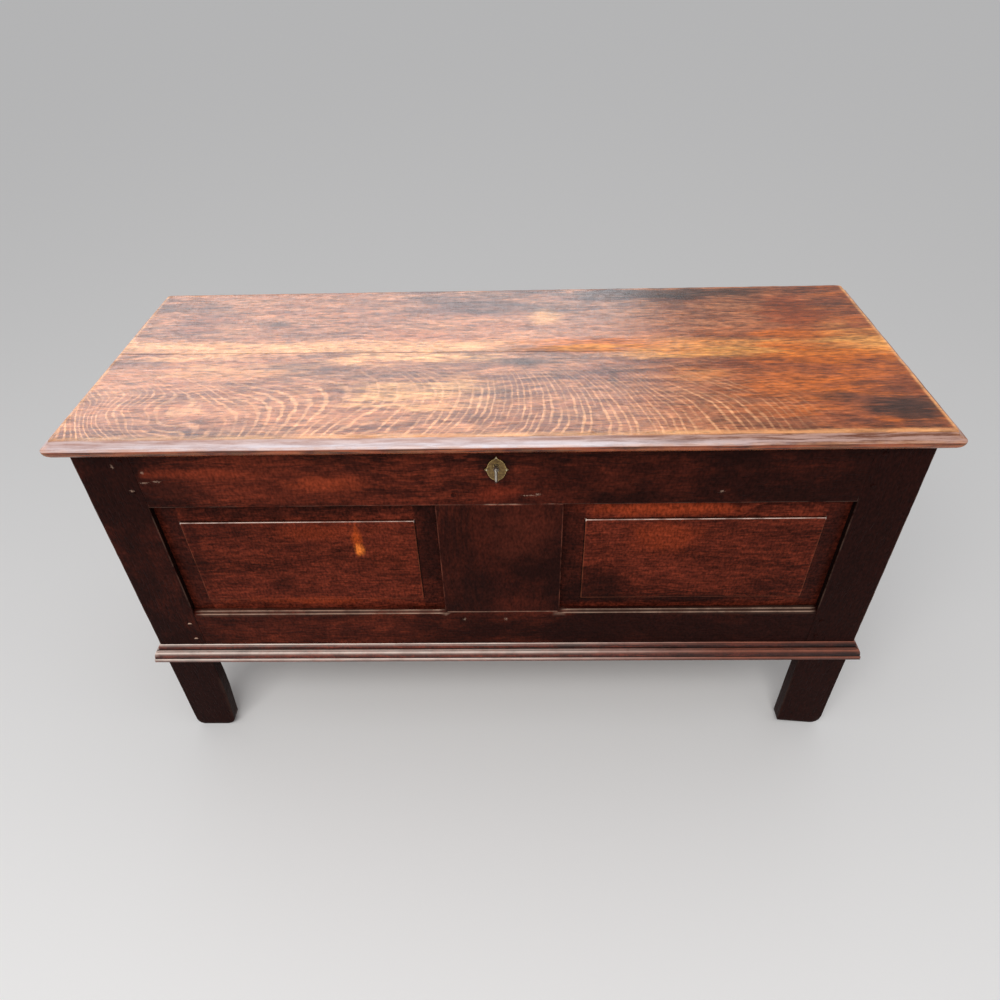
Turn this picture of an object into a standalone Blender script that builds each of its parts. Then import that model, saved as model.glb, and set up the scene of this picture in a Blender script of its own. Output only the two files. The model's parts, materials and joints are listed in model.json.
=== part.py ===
"""A joined oak coffer: pegged frame and panel carcass on stile feet, hinged two-board lid, lock and key.

Metres, +Z up. The front faces -Y. The origin is on the floor, at the middle of the whole object's box.
"""

import math

import bmesh
import bpy
from mathutils import Vector

# Gaps
FIT = 0.0003  # between pieces that touch
OVERCUT = 0.002  # how far a cut starts outside the wood
PANEL_PLAY = 0.0015  # room left in a groove for a panel to swell

# Carcass
BODY_WIDTH = 1.125
BODY_DEPTH = 0.405
BODY_HEIGHT = 0.616
FOOT_HEIGHT = 0.1945  # floor to the bottom rails
FOOT_CHAMFER = 0.005
STILE_WIDTH = 0.0765
FRAME_THICK = 0.022  # stiles, rails and muntins of the front and back
TOP_RAIL_HEIGHT = 0.098
BOTTOM_RAIL_HEIGHT = 0.107
RAIL_CHAMFER = 0.004  # on the front bottom rail, below each panel
MUNTIN_WIDTH = 0.177
SIDE_RAIL_THICK = 0.018
SIDE_INSET = 0.002  # side rails behind the stiles' outer edges

# Joints of the frames
TENON_THICK = 0.007
TENON_SETBACK = 0.0085  # frame face to tenon
TENON_LENGTH = 0.046
TENON_SHOULDER = 0.006
MUNTIN_TENON = 0.028
SIDE_TENON = 0.014
SIDE_TENON_THICK = 0.0065
SIDE_TENON_SETBACK = 0.0065
GROOVE_DEPTH = 0.009
PEG_RADIUS = 0.004
PEG_LENGTH = 0.018
PEG_PROUD = 0.0004
PEG_EDGE = 0.012  # tenon's edge to the peg
PEG_FROM_SHOULDER = 0.013
MUNTIN_PEG_DROP = 0.018

# Panels
FIELDED_SETBACK = 0.010  # frame face to the panel's tongue
FIELDED_TONGUE = 0.0055
FIELD_SETBACK = 0.004  # frame face to the raised field
FIELD_STEP = 0.0025
FIELD_MARGIN_SIDE = 0.032
FIELD_MARGIN_TOP = 0.032
FIELD_MARGIN_BOTTOM = 0.026
PLAIN_SETBACK = 0.006
PLAIN_THICK = 0.008

# Base moulding
MOULDING_HEIGHT = 0.032
MOULDING_OUT = 0.013
MOULDING_FILLET = 0.008
MOULDING_OVOLO = 0.014
MOULDING_TOP_OUT = 0.0055
MOULDING_QUIRK = 0.0015

# Floor
FLOOR_RAISE = 0.022  # bottom rails' lower edges to the floor
FLOOR_THICK = 0.012
FLOOR_BOARDS = 5
FLOOR_JOINT = 0.0006
FLOOR_NOTCH = 0.012  # end boards are notched this far short of the stiles

# Lid
LID_THICK = 0.023
LID_FRONT_OVERHANG = 0.021
LID_SIDE_OVERHANG = 0.0215
LID_BACK_OVERHANG = 0.020
LID_NOSE_HEIGHT = 0.0125
LID_UNDER_ROUND = 0.009
LID_NOSE_ROUND = 0.002
LID_COVE_WIDTH = 0.0105
LID_COVE_HEIGHT = 0.0075
FRONT_BOARD_LEFT = 0.2375  # width of the tapered front board at the left end of the lid
FRONT_BOARD_RIGHT = 0.222
BATTEN_WIDTH = 0.050
BATTEN_THICK = 0.018
BATTEN_CLEAR = 0.016  # batten ends to the inside of the carcass
BATTEN_FROM_END = 0.270
BATTEN_NAIL_INSET = 0.075

# Hinges
HINGE_FROM_END = 0.160
HINGE_WIDTH = 0.032
HINGE_KNUCKLE = 0.0156  # the strap's middle knuckle
HINGE_BARREL = 0.0045
HINGE_PIN = 0.0022
HINGE_PIN_HEAD = 0.0034
HINGE_PIN_RIVET = 0.0014
HINGE_ROOT_CLEAR = 0.0008
STRAP_THICK = 0.0025
STRAP_LENGTH = 0.165
STRAP_TIP_WIDTH = 0.018
STRAP_NAIL_INSET = 0.014  # inside of the back to the first nail
LEAF_HEIGHT = 0.062
LEAF_NAIL_TOP = 0.030  # hinge axis to the leaf's upper nail
LEAF_NAIL_LOW = 0.052

# Nails
NAIL_RADIUS = 0.0017
NAIL_HEAD = 0.0046
NAIL_HEAD_RISE = 0.0022
NAIL_HEAD_TOP = 0.3  # shares of the head and of the shank
NAIL_HEAD_EDGE = 0.35
NAIL_POINT = 0.6
LID_NAIL_BITE = 0.012
FRAME_NAIL_BITE = 0.013

# Lock, with depths from the front of the top rail
LOCK_X = -0.002
KEY_DROP = 0.0295  # carcass top to the key's axis
LOCK_DEPTH = 0.013
LOCK_PLATE_THICK = 0.0018
LOCK_PLATE_WIDTH = 0.108
LOCK_PLATE_HEIGHT = 0.054
LOCK_CASE_WIDTH = 0.084
LOCK_CASE_HEIGHT = 0.048
LOCK_CAP_WALL = 0.0015
LOCK_MID_BACK = 0.0065  # inner face of the rail to the middle of the bolt
BOLT_THICK = 0.003
BOLT_HEIGHT = 0.012
BOLT_RISE = 0.0085  # key axis to the bolt's lower edge
BOLT_TAIL = 0.040
BOLT_TIP = 0.0175
BOLT_TRAVEL = 0.014
TALON_CLEAR = 0.0006
KEEPER_THICK = 0.003
KEEPER_WALL = 0.0016
KEEPER_TAIL_X = -0.0205
KEEPER_TIP_X = 0.0150
SPRING_THICK = 0.0008
SPRING_WIDTH = 0.003
SPRING_LENGTH = 0.026
DRILL_PIN = 0.0013
DRILL_PIN_LENGTH = 0.008
LOCK_NAIL_INSET = 0.0065
LOCK_NAIL_LENGTH = 0.011
STAPLE_X = 0.0220
STAPLE_TAB_THICK = 0.004
STAPLE_TAB_DEPTH = 0.008
STAPLE_PLATE_LENGTH = 0.040
STAPLE_PLATE_DEPTH = 0.014
STAPLE_PLATE_THICK = 0.002
STAPLE_EYE_CLEAR = 0.0008
STAPLE_LIP = 0.004
STAPLE_PRONG_SPREAD = 0.013
SLOT_SWING = 0.0012  # the staple swings forward as the lid lifts

# Escutcheon
ESCUTCHEON_WIDTH = 0.0254
ESCUTCHEON_HEIGHT = 0.035
ESCUTCHEON_CUSP_SIDE = 0.0030
ESCUTCHEON_CUSP_END = 0.0045
ESCUTCHEON_CUSP_ANGLE = 13.0  # degrees
ESCUTCHEON_CUSP_CURVE = 1.4
ESCUTCHEON_THICK = 0.0014
ESCUTCHEON_DROP = 0.007  # key axis to the plate's middle
ESCUTCHEON_SEGMENTS = 48
ESCUTCHEON_PIN_INSET = 0.0026
ESCUTCHEON_PIN_HEAD = 0.0015
ESCUTCHEON_PIN_RADIUS = 0.0006
ESCUTCHEON_PIN_LENGTH = 0.006
ESCUTCHEON_PIN_RISE = 0.0007
ESCUTCHEON_PIN_CROWN = 0.5

# Key
KEY_REACH = 0.030  # front of the carcass to the end of the bow
KEY_SHANK = 0.0028
KEY_COLLAR = 0.0038
KEY_COLLAR_LENGTH = 0.0022
KEY_PIPE_END_GAP = 0.0006
KEY_BORE = 0.0017
KEY_BORE_DEPTH = 0.0088
KEY_BOW_HEIGHT = 0.025
KEY_BOW_LENGTH = 0.019
KEY_BOW_WIRE = 0.0018
KEY_BIT_REACH = 0.012
KEY_BIT_THICK = 0.0024
KEY_BIT_WIDTH = 0.0046
KEYHOLE_CLEAR = 0.0006

# Facets
PEG_SIDES = 8
NAIL_SIDES = 4
ROUND_SIDES = 12
ARC_STEPS = 4
BOW_STEPS = 20

# Places that follow
X_AXIS, Y_AXIS, Z_AXIS = "XYZ"
LEFT, RIGHT = "left", "right"
SIGN = {LEFT: -1, RIGHT: 1}
HALF_WIDTH = BODY_WIDTH / 2
FRONT = (KEY_REACH - BODY_DEPTH - LID_BACK_OVERHANG) / 2
BACK = FRONT + BODY_DEPTH
INNER_FRONT = FRONT + FRAME_THICK
INNER_BACK = BACK - FRAME_THICK
INNER_HALF = HALF_WIDTH - SIDE_INSET - SIDE_RAIL_THICK
OPENING_HALF = HALF_WIDTH - STILE_WIDTH
OPENING_LOW = FOOT_HEIGHT + BOTTOM_RAIL_HEIGHT
OPENING_HIGH = BODY_HEIGHT - TOP_RAIL_HEIGHT
MUNTIN_HALF = MUNTIN_WIDTH / 2
MUNTIN_TENON_HALF = MUNTIN_HALF - GROOVE_DEPTH - TENON_SHOULDER
LOW_TENON = (FOOT_HEIGHT + TENON_SHOULDER, OPENING_LOW - GROOVE_DEPTH - TENON_SHOULDER)
HIGH_TENON = (OPENING_HIGH + GROOVE_DEPTH + TENON_SHOULDER, BODY_HEIGHT - TENON_SHOULDER)
PEG_PLACES = (
    ("bottom_lower", FOOT_HEIGHT + MOULDING_HEIGHT + PEG_EDGE),
    ("bottom_upper", LOW_TENON[1] - PEG_EDGE),
    ("top_lower", HIGH_TENON[0] + PEG_EDGE),
    ("top_upper", HIGH_TENON[1] - PEG_EDGE),
)
FLOOR_UNDER = FOOT_HEIGHT + FLOOR_RAISE
FLOOR_TOP = FLOOR_UNDER + FLOOR_THICK
LID_UNDER = BODY_HEIGHT + FIT
LID_HALF = HALF_WIDTH + LID_SIDE_OVERHANG
LID_FRONT = FRONT - LID_FRONT_OVERHANG
LID_BACK = BACK + LID_BACK_OVERHANG
HINGE_Y = BACK + FIT + HINGE_BARREL
HINGE_Z = BODY_HEIGHT - HINGE_BARREL
HINGE_X = HALF_WIDTH - HINGE_FROM_END
BATTEN_X = HALF_WIDTH - BATTEN_FROM_END
KEY_Z = BODY_HEIGHT - KEY_DROP
LOCK_Y = INNER_FRONT - LOCK_MID_BACK
LOCK_FACE = INNER_FRONT - LOCK_DEPTH
PLATE_FACE = INNER_FRONT - LOCK_PLATE_THICK
SELVEDGE_UNDER = BODY_HEIGHT - LOCK_PLATE_THICK
BOLT_LOW = KEY_Z + BOLT_RISE
BOLT_HIGH = BOLT_LOW + BOLT_HEIGHT
ESCUTCHEON_Z = KEY_Z - ESCUTCHEON_DROP


def clear_scene():
    for item in list(bpy.data.objects):
        bpy.data.objects.remove(item, do_unlink=True)


def finish_material(name, colour, roughness, metallic=0.0):
    made = bpy.data.materials.new(name)
    made.use_nodes = True
    shader = made.node_tree.nodes["Principled BSDF"]
    shader.inputs["Base Color"].default_value = (*colour, 1.0)
    shader.inputs["Roughness"].default_value = roughness
    shader.inputs["Metallic"].default_value = metallic
    return made


def axis_empty(name, place):
    """An empty on a joint's axis, the parent of the pieces that move about it."""
    empty = bpy.data.objects.new(name, None)
    empty.location = place
    bpy.context.scene.collection.objects.link(empty)
    return empty


def piece(name, bm, finish, parent):
    """A named piece from its solids, with its origin on its parent."""
    bmesh.ops.recalc_face_normals(bm, faces=bm.faces)
    bmesh.ops.translate(bm, vec=-parent.location, verts=bm.verts)
    mesh = bpy.data.meshes.new(name)
    bm.to_mesh(mesh)
    bm.free()
    mesh.materials.append(finish)
    made = bpy.data.objects.new(name, mesh)
    bpy.context.scene.collection.objects.link(made)
    made.parent = parent
    return made


def tool(name, bm):
    """A hidden shape that a Boolean takes from, or adds to, a piece."""
    bmesh.ops.recalc_face_normals(bm, faces=bm.faces)
    mesh = bpy.data.meshes.new(name)
    bm.to_mesh(mesh)
    bm.free()
    made = bpy.data.objects.new(name, mesh)
    bpy.context.scene.collection.objects.link(made)
    made.hide_render = True
    made.display_type = "WIRE"
    return made


def boolean(target, shape, operation):
    modifier = target.modifiers.new(shape.name, "BOOLEAN")
    modifier.operation = operation
    modifier.solver = "EXACT"
    modifier.object = shape


def cut(target, shape):
    boolean(target, shape, "DIFFERENCE")


def join(target, shape):
    boolean(target, shape, "UNION")


def at(axis, along, pair):
    """A point from its place along one axis and its two other coordinates in X, Y, Z order."""
    point = list(pair)
    point.insert("XYZ".index(axis), along)
    return Vector(point)


def add_box(bm, corner, opposite):
    made = bmesh.ops.create_cube(bm, size=1.0)["verts"]
    low, high = Vector(corner), Vector(opposite)
    size = Vector(abs(b - a) for a, b in zip(low, high))
    bmesh.ops.scale(bm, vec=size, verts=made)
    bmesh.ops.translate(bm, vec=(low + high) / 2, verts=made)


def add_loft(bm, rings):
    """A closed solid through rings of as many points each."""
    loops = [[bm.verts.new(point) for point in ring] for ring in rings]
    for near, far in zip(loops, loops[1:]):
        for i, corner in enumerate(near):
            j = (i + 1) % len(near)
            bm.faces.new((corner, near[j], far[j], far[i]))
    bm.faces.new(loops[0])
    bm.faces.new(loops[-1])


def add_bar(bm, axis, sections):
    """A square bar through sections of (place along the axis, low corner, high corner)."""
    rings = []
    for along, (u0, v0), (u1, v1) in sections:
        corners = ((u0, v0), (u1, v0), (u1, v1), (u0, v1))
        rings.append([at(axis, along, corner) for corner in corners])
    add_loft(bm, rings)


def add_turning(bm, axis, centre, outline, sides):
    """A turned solid from an outline of (place along the axis, radius), with a flat to each side."""
    rings = []
    for along, radius in outline:
        ring = []
        for i in range(sides):
            angle = 2 * math.pi * (i + 0.5) / sides
            pair = (centre[0] + radius * math.cos(angle), centre[1] + radius * math.sin(angle))
            ring.append(at(axis, along, pair))
        rings.append(ring)
    add_loft(bm, rings)


def add_plate(bm, axis, near, far, outline):
    """A flat outline given thickness along one axis."""
    add_loft(bm, [[at(axis, along, pair) for pair in outline] for along in (near, far)])


def arc(centre, radii, start, end, steps):
    """Points on a stretch of an ellipse, angles in degrees."""
    points = []
    for i in range(steps + 1):
        angle = math.radians(start + (end - start) * i / steps)
        points.append((centre[0] + radii[0] * math.cos(angle), centre[1] + radii[1] * math.sin(angle)))
    return points


def across(side, inward):
    """X at a distance inward from the carcass's outer face on one side."""
    return SIGN[side] * (HALF_WIDTH - inward)


def depth(face, inward):
    """Y at a distance inward from the face of the front or back frame."""
    return FRONT + inward if face == "front" else BACK - inward


def depth_span(face, start, thick, grow=0.0):
    return depth(face, start - grow), depth(face, start + thick + grow)


def add_nail(bm, axis, centre, seat, tip):
    """A forged nail with its head on the seat and a shank that tapers to the tip."""
    way = math.copysign(1.0, tip - seat)
    outline = [
        (seat - way * NAIL_HEAD_RISE, NAIL_HEAD * NAIL_HEAD_TOP),
        (seat - way * NAIL_HEAD_RISE * NAIL_HEAD_EDGE, NAIL_HEAD),
        (seat, NAIL_HEAD),
        (seat, NAIL_RADIUS),
        (tip, NAIL_RADIUS * NAIL_POINT),
    ]
    add_turning(bm, axis, centre, outline, NAIL_SIDES)


def add_nail_hole(bm, axis, centre, seat, tip):
    way = math.copysign(1.0, tip - seat)
    radius = NAIL_RADIUS + FIT / math.cos(math.pi / NAIL_SIDES)
    outline = [(seat - way * OVERCUT, radius), (tip + way * FIT, radius)]
    add_turning(bm, axis, centre, outline, NAIL_SIDES)


def riveted(iron_piece, nails, through):
    """Nails in one with the ironwork that they hold, and their holes in the wood."""
    bm, holes = bmesh.new(), bmesh.new()
    for axis, centre, seat, tip in nails:
        sunk = seat + math.copysign(FIT, tip - seat)
        add_nail(bm, axis, centre, sunk, tip)
        add_nail_hole(holes, axis, centre, seat, tip)
    join(iron_piece, tool(iron_piece.name + "_nails", bm))
    shape = tool(iron_piece.name + "_nail_holes", holes)
    for target in through:
        cut(target, shape)


def pegged(name, centre, finish, parent, through):
    """An oak peg driven in from the front, and its hole in the joint's two pieces."""
    bm, hole = bmesh.new(), bmesh.new()
    outline = [(FRONT - PEG_PROUD, PEG_RADIUS), (FRONT + PEG_LENGTH, PEG_RADIUS)]
    add_turning(bm, Y_AXIS, centre, outline, PEG_SIDES)
    radius = PEG_RADIUS + FIT / math.cos(math.pi / PEG_SIDES)
    bored = [(FRONT - OVERCUT, radius), (FRONT + PEG_LENGTH + FIT, radius)]
    add_turning(hole, Y_AXIS, centre, bored, PEG_SIDES)
    piece(name, bm, finish, parent)
    shape = tool(name + "_hole", hole)
    for target in through:
        cut(target, shape)


def stile(face, side, groove, finish, parent):
    """A corner post whose lower end is the foot, with mortices and grooves on two sides."""
    name = f"{face}_{side}_stile"
    outer, inner = across(side, 0), across(side, STILE_WIDTH)
    near, far = depth_span(face, 0, FRAME_THICK)
    foot_x = across(side, FOOT_CHAMFER), across(side, STILE_WIDTH - FOOT_CHAMFER)
    foot_y = depth_span(face, FOOT_CHAMFER, FRAME_THICK - 2 * FOOT_CHAMFER)
    bm = bmesh.new()
    sections = [
        (0.0, (foot_x[0], foot_y[0]), (foot_x[1], foot_y[1])),
        (FOOT_CHAMFER, (outer, near), (inner, far)),
        (BODY_HEIGHT, (outer, near), (inner, far)),
    ]
    add_bar(bm, Z_AXIS, sections)
    post = piece(name, bm, finish, parent)

    bm = bmesh.new()
    mouth = across(side, STILE_WIDTH + OVERCUT)
    tenon = depth_span(face, TENON_SETBACK, TENON_THICK, FIT)
    side_tenon = SIDE_INSET + SIDE_TENON_SETBACK
    for low, high in (LOW_TENON, HIGH_TENON):
        end = across(side, STILE_WIDTH - TENON_LENGTH - FIT)
        add_box(bm, (mouth, tenon[0], low - FIT), (end, tenon[1], high + FIT))
        corner = (across(side, side_tenon - FIT), depth(face, FRAME_THICK + OVERCUT), low - FIT)
        bottom = depth(face, FRAME_THICK - SIDE_TENON - FIT)
        opposite = (across(side, side_tenon + SIDE_TENON_THICK + FIT), bottom, high + FIT)
        add_box(bm, corner, opposite)
    low, high = OPENING_LOW - GROOVE_DEPTH, OPENING_HIGH + GROOVE_DEPTH
    slot = depth_span(face, *groove, FIT)
    add_box(bm, (mouth, slot[0], low), (across(side, STILE_WIDTH - GROOVE_DEPTH), slot[1], high))
    plain = SIDE_INSET + PLAIN_SETBACK
    corner = (across(side, plain - FIT), depth(face, FRAME_THICK + OVERCUT), low)
    opposite = (across(side, plain + PLAIN_THICK + FIT), depth(face, FRAME_THICK - GROOVE_DEPTH), high)
    add_box(bm, corner, opposite)
    cut(post, tool(name + "_joints", bm))
    return post


def rail(face, level, groove, finish, parent):
    """A front or back rail, tenoned into both stiles and morticed for the muntin."""
    name = f"{face}_{level}_rail"
    if level == "top":
        low, high, tenon = OPENING_HIGH, BODY_HEIGHT, HIGH_TENON
        edge, inward = OPENING_HIGH, 1
    else:
        low, high, tenon = FOOT_HEIGHT, OPENING_LOW, LOW_TENON
        edge, inward = OPENING_LOW, -1
    near, far = depth_span(face, 0, FRAME_THICK)
    tenon_y = depth_span(face, TENON_SETBACK, TENON_THICK)
    shoulder, end = OPENING_HALF - FIT, OPENING_HALF + TENON_LENGTH
    thin = ((tenon_y[0], tenon[0]), (tenon_y[1], tenon[1]))
    full = ((near, low), (far, high))
    bm = bmesh.new()
    sections = [
        (-end, *thin),
        (-shoulder, *thin),
        (-shoulder, *full),
        (shoulder, *full),
        (shoulder, *thin),
        (end, *thin),
    ]
    add_bar(bm, X_AXIS, sections)
    made = piece(name, bm, finish, parent)

    mouth = edge - inward * OVERCUT
    slot = depth_span(face, *groove, FIT)
    bm = bmesh.new()
    run = shoulder + OVERCUT
    add_box(bm, (-run, slot[0], mouth), (run, slot[1], edge + inward * GROOVE_DEPTH))
    cut(made, tool(name + "_groove", bm))

    mortice = depth_span(face, TENON_SETBACK, TENON_THICK, FIT)
    half, bottom = MUNTIN_TENON_HALF + FIT, edge + inward * (MUNTIN_TENON + FIT)
    bm = bmesh.new()
    add_box(bm, (-half, mortice[0], mouth), (half, mortice[1], bottom))
    cut(made, tool(name + "_mortice", bm))
    return made


def muntin(face, groove, finish, parent):
    name = f"{face}_muntin"
    near, far = depth_span(face, 0, FRAME_THICK)
    tenon_y = depth_span(face, TENON_SETBACK, TENON_THICK)
    thin = ((-MUNTIN_TENON_HALF, tenon_y[0]), (MUNTIN_TENON_HALF, tenon_y[1]))
    full = ((-MUNTIN_HALF, near), (MUNTIN_HALF, far))
    bm = bmesh.new()
    sections = [
        (OPENING_LOW - MUNTIN_TENON, *thin),
        (OPENING_LOW + FIT, *thin),
        (OPENING_LOW + FIT, *full),
        (OPENING_HIGH - FIT, *full),
        (OPENING_HIGH - FIT, *thin),
        (OPENING_HIGH + MUNTIN_TENON, *thin),
    ]
    add_bar(bm, Z_AXIS, sections)
    made = piece(name, bm, finish, parent)
    slot = depth_span(face, *groove, FIT)
    bm = bmesh.new()
    for side in (LEFT, RIGHT):
        corner = (SIGN[side] * (MUNTIN_HALF + OVERCUT), slot[0], OPENING_LOW - OVERCUT)
        opposite = (SIGN[side] * (MUNTIN_HALF - GROOVE_DEPTH), slot[1], OPENING_HIGH + OVERCUT)
        add_box(bm, corner, opposite)
    cut(made, tool(name + "_grooves", bm))
    return made


def fielded_panel(side, finish, parent):
    """A front panel with a raised field and a bevel that runs down to its tongue."""
    reach = GROOVE_DEPTH - PANEL_PLAY
    low_x, high_x = sorted((SIGN[side] * OPENING_HALF, SIGN[side] * MUNTIN_HALF))

    def section(inward, left, right, bottom, top):
        low = (low_x + left, OPENING_LOW + bottom)
        high = (high_x - right, OPENING_HIGH - top)
        return depth("front", inward), low, high

    margins = (FIELD_MARGIN_SIDE, FIELD_MARGIN_SIDE, FIELD_MARGIN_BOTTOM, FIELD_MARGIN_TOP)
    bm = bmesh.new()
    sections = [
        section(FIELDED_SETBACK + FIELDED_TONGUE, -reach, -reach, -reach, -reach),
        section(FIELDED_SETBACK, -reach, -reach, -reach, -reach),
        section(FIELDED_SETBACK, FIT, FIT, FIT, FIT),
        section(FIELD_SETBACK + FIELD_STEP, *margins),
        section(FIELD_SETBACK, *margins),
    ]
    add_bar(bm, Y_AXIS, sections)
    return piece(f"front_{side}_panel", bm, finish, parent)


def plain_back_panel(side, finish, parent):
    reach = GROOVE_DEPTH - PANEL_PLAY
    near, far = depth_span("back", PLAIN_SETBACK, PLAIN_THICK)
    bm = bmesh.new()
    corner = (SIGN[side] * (OPENING_HALF + reach), near, OPENING_LOW - reach)
    opposite = (SIGN[side] * (MUNTIN_HALF - reach), far, OPENING_HIGH + reach)
    add_box(bm, corner, opposite)
    return piece(f"back_{side}_panel", bm, finish, parent)


def build_frame(face, groove, panel, oak, carcass):
    """The front or back frame with its two panels."""
    stiles = {side: stile(face, side, groove, oak["frame"], carcass) for side in (LEFT, RIGHT)}
    rails = {level: rail(face, level, groove, oak["frame"], carcass) for level in ("top", "bottom")}
    post = muntin(face, groove, oak["frame"], carcass)
    for side in (LEFT, RIGHT):
        panel(side, oak["panel"], carcass)
    return stiles, rails, post


def peg_front(stiles, rails, post, oak, carcass):
    """Two pegs in each corner joint of the front and one at each end of its muntin."""
    for side in (LEFT, RIGHT):
        x = SIGN[side] * (OPENING_HALF + PEG_FROM_SHOULDER)
        for place, z in PEG_PLACES:
            level = place.split("_")[0]
            through = (stiles[side], rails[level])
            pegged(f"peg_{side}_{place}", (x, z), oak["peg"], carcass, through)
    x = -(MUNTIN_TENON_HALF - PEG_EDGE)
    ends = (("bottom", OPENING_LOW - MUNTIN_PEG_DROP), ("top", OPENING_HIGH + MUNTIN_PEG_DROP))
    for level, z in ends:
        pegged(f"peg_muntin_{level}", (x, z), oak["peg"], carcass, (rails[level], post))


def chamfer_bottom_rail(bottom_rail):
    """The sloped arris below each front panel."""
    bm = bmesh.new()
    reach = RAIL_CHAMFER + OVERCUT
    corner = [
        (FRONT - OVERCUT, OPENING_LOW + OVERCUT),
        (FRONT - OVERCUT, OPENING_LOW - reach),
        (FRONT + reach, OPENING_LOW + OVERCUT),
    ]
    for side in (LEFT, RIGHT):
        ends = SIGN[side] * MUNTIN_HALF, SIGN[side] * (OPENING_HALF - 2 * FIT)
        add_plate(bm, X_AXIS, *ends, corner)
    cut(bottom_rail, tool("front_bottom_rail_chamfers", bm))


def build_side(side, oak, carcass):
    """A side frame: two rails and a plain panel between the front and back stiles."""
    outer, inner = across(side, SIDE_INSET), across(side, SIDE_INSET + SIDE_RAIL_THICK)
    tenon = SIDE_INSET + SIDE_TENON_SETBACK
    tenon_x = across(side, tenon), across(side, tenon + SIDE_TENON_THICK)
    plain = SIDE_INSET + PLAIN_SETBACK
    slot_x = across(side, plain - FIT), across(side, plain + PLAIN_THICK + FIT)
    levels = (
        ("top", OPENING_HIGH, BODY_HEIGHT, HIGH_TENON, OPENING_HIGH, 1),
        ("bottom", FOOT_HEIGHT, OPENING_LOW, LOW_TENON, OPENING_LOW, -1),
    )
    for level, low, high, tenon_z, edge, inward in levels:
        name = f"{side}_{level}_rail"
        thin = ((tenon_x[0], tenon_z[0]), (tenon_x[1], tenon_z[1]))
        full = ((outer, low), (inner, high))
        bm = bmesh.new()
        sections = [
            (INNER_FRONT - SIDE_TENON, *thin),
            (INNER_FRONT + FIT, *thin),
            (INNER_FRONT + FIT, *full),
            (INNER_BACK - FIT, *full),
            (INNER_BACK - FIT, *thin),
            (INNER_BACK + SIDE_TENON, *thin),
        ]
        add_bar(bm, Y_AXIS, sections)
        made = piece(name, bm, oak["frame"], carcass)
        bm = bmesh.new()
        corner = (slot_x[0], INNER_FRONT - OVERCUT, edge - inward * OVERCUT)
        add_box(bm, corner, (slot_x[1], INNER_BACK + OVERCUT, edge + inward * GROOVE_DEPTH))
        cut(made, tool(name + "_groove", bm))

    reach = GROOVE_DEPTH - PANEL_PLAY
    bm = bmesh.new()
    corner = (across(side, plain), INNER_FRONT - reach, OPENING_LOW - reach)
    add_box(bm, corner, (across(side, plain + PLAIN_THICK), INNER_BACK + reach, OPENING_HIGH + reach))
    piece(f"{side}_panel", bm, oak["panel"], carcass)


def moulding_profile():
    """Base moulding section from the bottom up: (distance out from the carcass, height)."""
    shelf = MOULDING_FILLET + MOULDING_OVOLO
    ovolo = (MOULDING_OUT - MOULDING_QUIRK - MOULDING_TOP_OUT, MOULDING_OVOLO)
    bead = (MOULDING_TOP_OUT - MOULDING_QUIRK, MOULDING_HEIGHT - shelf)
    profile = [(FIT, 0.0), (MOULDING_OUT, 0.0), (MOULDING_OUT, MOULDING_FILLET)]
    profile += arc((MOULDING_TOP_OUT, MOULDING_FILLET), ovolo, 0, 90, ARC_STEPS)
    profile += arc((0.0, shelf), bead, 0, 80, ARC_STEPS)
    profile.append((FIT, MOULDING_HEIGHT))
    return profile


def build_moulding(oak, carcass):
    """The base moulding, glued on and mitred at the two front corners."""
    profile = moulding_profile()
    bm = bmesh.new()
    ends = []
    for side in (LEFT, RIGHT):
        ends.append([(across(side, -out), FRONT - out, FOOT_HEIGHT + up) for out, up in profile])
    add_loft(bm, ends)
    piece("base_moulding_front", bm, oak["frame"], carcass)
    for side in (LEFT, RIGHT):
        bm = bmesh.new()
        mitre = [(across(side, -out), FRONT - out + 2 * FIT, FOOT_HEIGHT + up) for out, up in profile]
        square = [(across(side, -out), BACK, FOOT_HEIGHT + up) for out, up in profile]
        add_loft(bm, [mitre, square])
        piece(f"base_moulding_{side}", bm, oak["frame"], carcass)


def floor_outline(left, right):
    """A board's outline as X and Y: its ends lie in the rails' grooves, but stop short of the stiles."""
    reach = GROOVE_DEPTH - PANEL_PLAY
    notch = OPENING_HALF - FLOOR_NOTCH
    outline = []
    for y, groove_y, corners in (
        (INNER_FRONT + FIT, INNER_FRONT - reach, (left, right)),
        (INNER_BACK - FIT, INNER_BACK + reach, (right, left)),
    ):
        start, end = corners
        if abs(start) > notch:
            edge = math.copysign(notch, start)
            outline += [(start, y), (edge, y), (edge, groove_y)]
        else:
            outline.append((start, groove_y))
        if abs(end) > notch:
            edge = math.copysign(notch, end)
            outline += [(edge, groove_y), (edge, y), (end, y)]
        else:
            outline.append((end, groove_y))
    return outline


def build_floor(bottom_rails, oak, carcass):
    """Floor boards that run front to back, held in a groove of each bottom rail."""
    half = INNER_HALF - FIT
    pitch = 2 * half / FLOOR_BOARDS
    for i in range(FLOOR_BOARDS):
        left = -half + i * pitch + FLOOR_JOINT / 2
        right = -half + (i + 1) * pitch - FLOOR_JOINT / 2
        bm = bmesh.new()
        add_plate(bm, Z_AXIS, FLOOR_UNDER, FLOOR_TOP, floor_outline(left, right))
        piece(f"floor_board_{i + 1}", bm, oak["inside"], carcass)
    run = OPENING_HALF - FLOOR_NOTCH + FIT
    for face, bottom_rail in bottom_rails.items():
        mouth, bottom = depth(face, FRAME_THICK + OVERCUT), depth(face, FRAME_THICK - GROOVE_DEPTH)
        bm = bmesh.new()
        add_box(bm, (-run, mouth, FLOOR_UNDER - FIT), (run, bottom, FLOOR_TOP + FIT))
        cut(bottom_rail, tool(face + "_floor_groove", bm))


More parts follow.
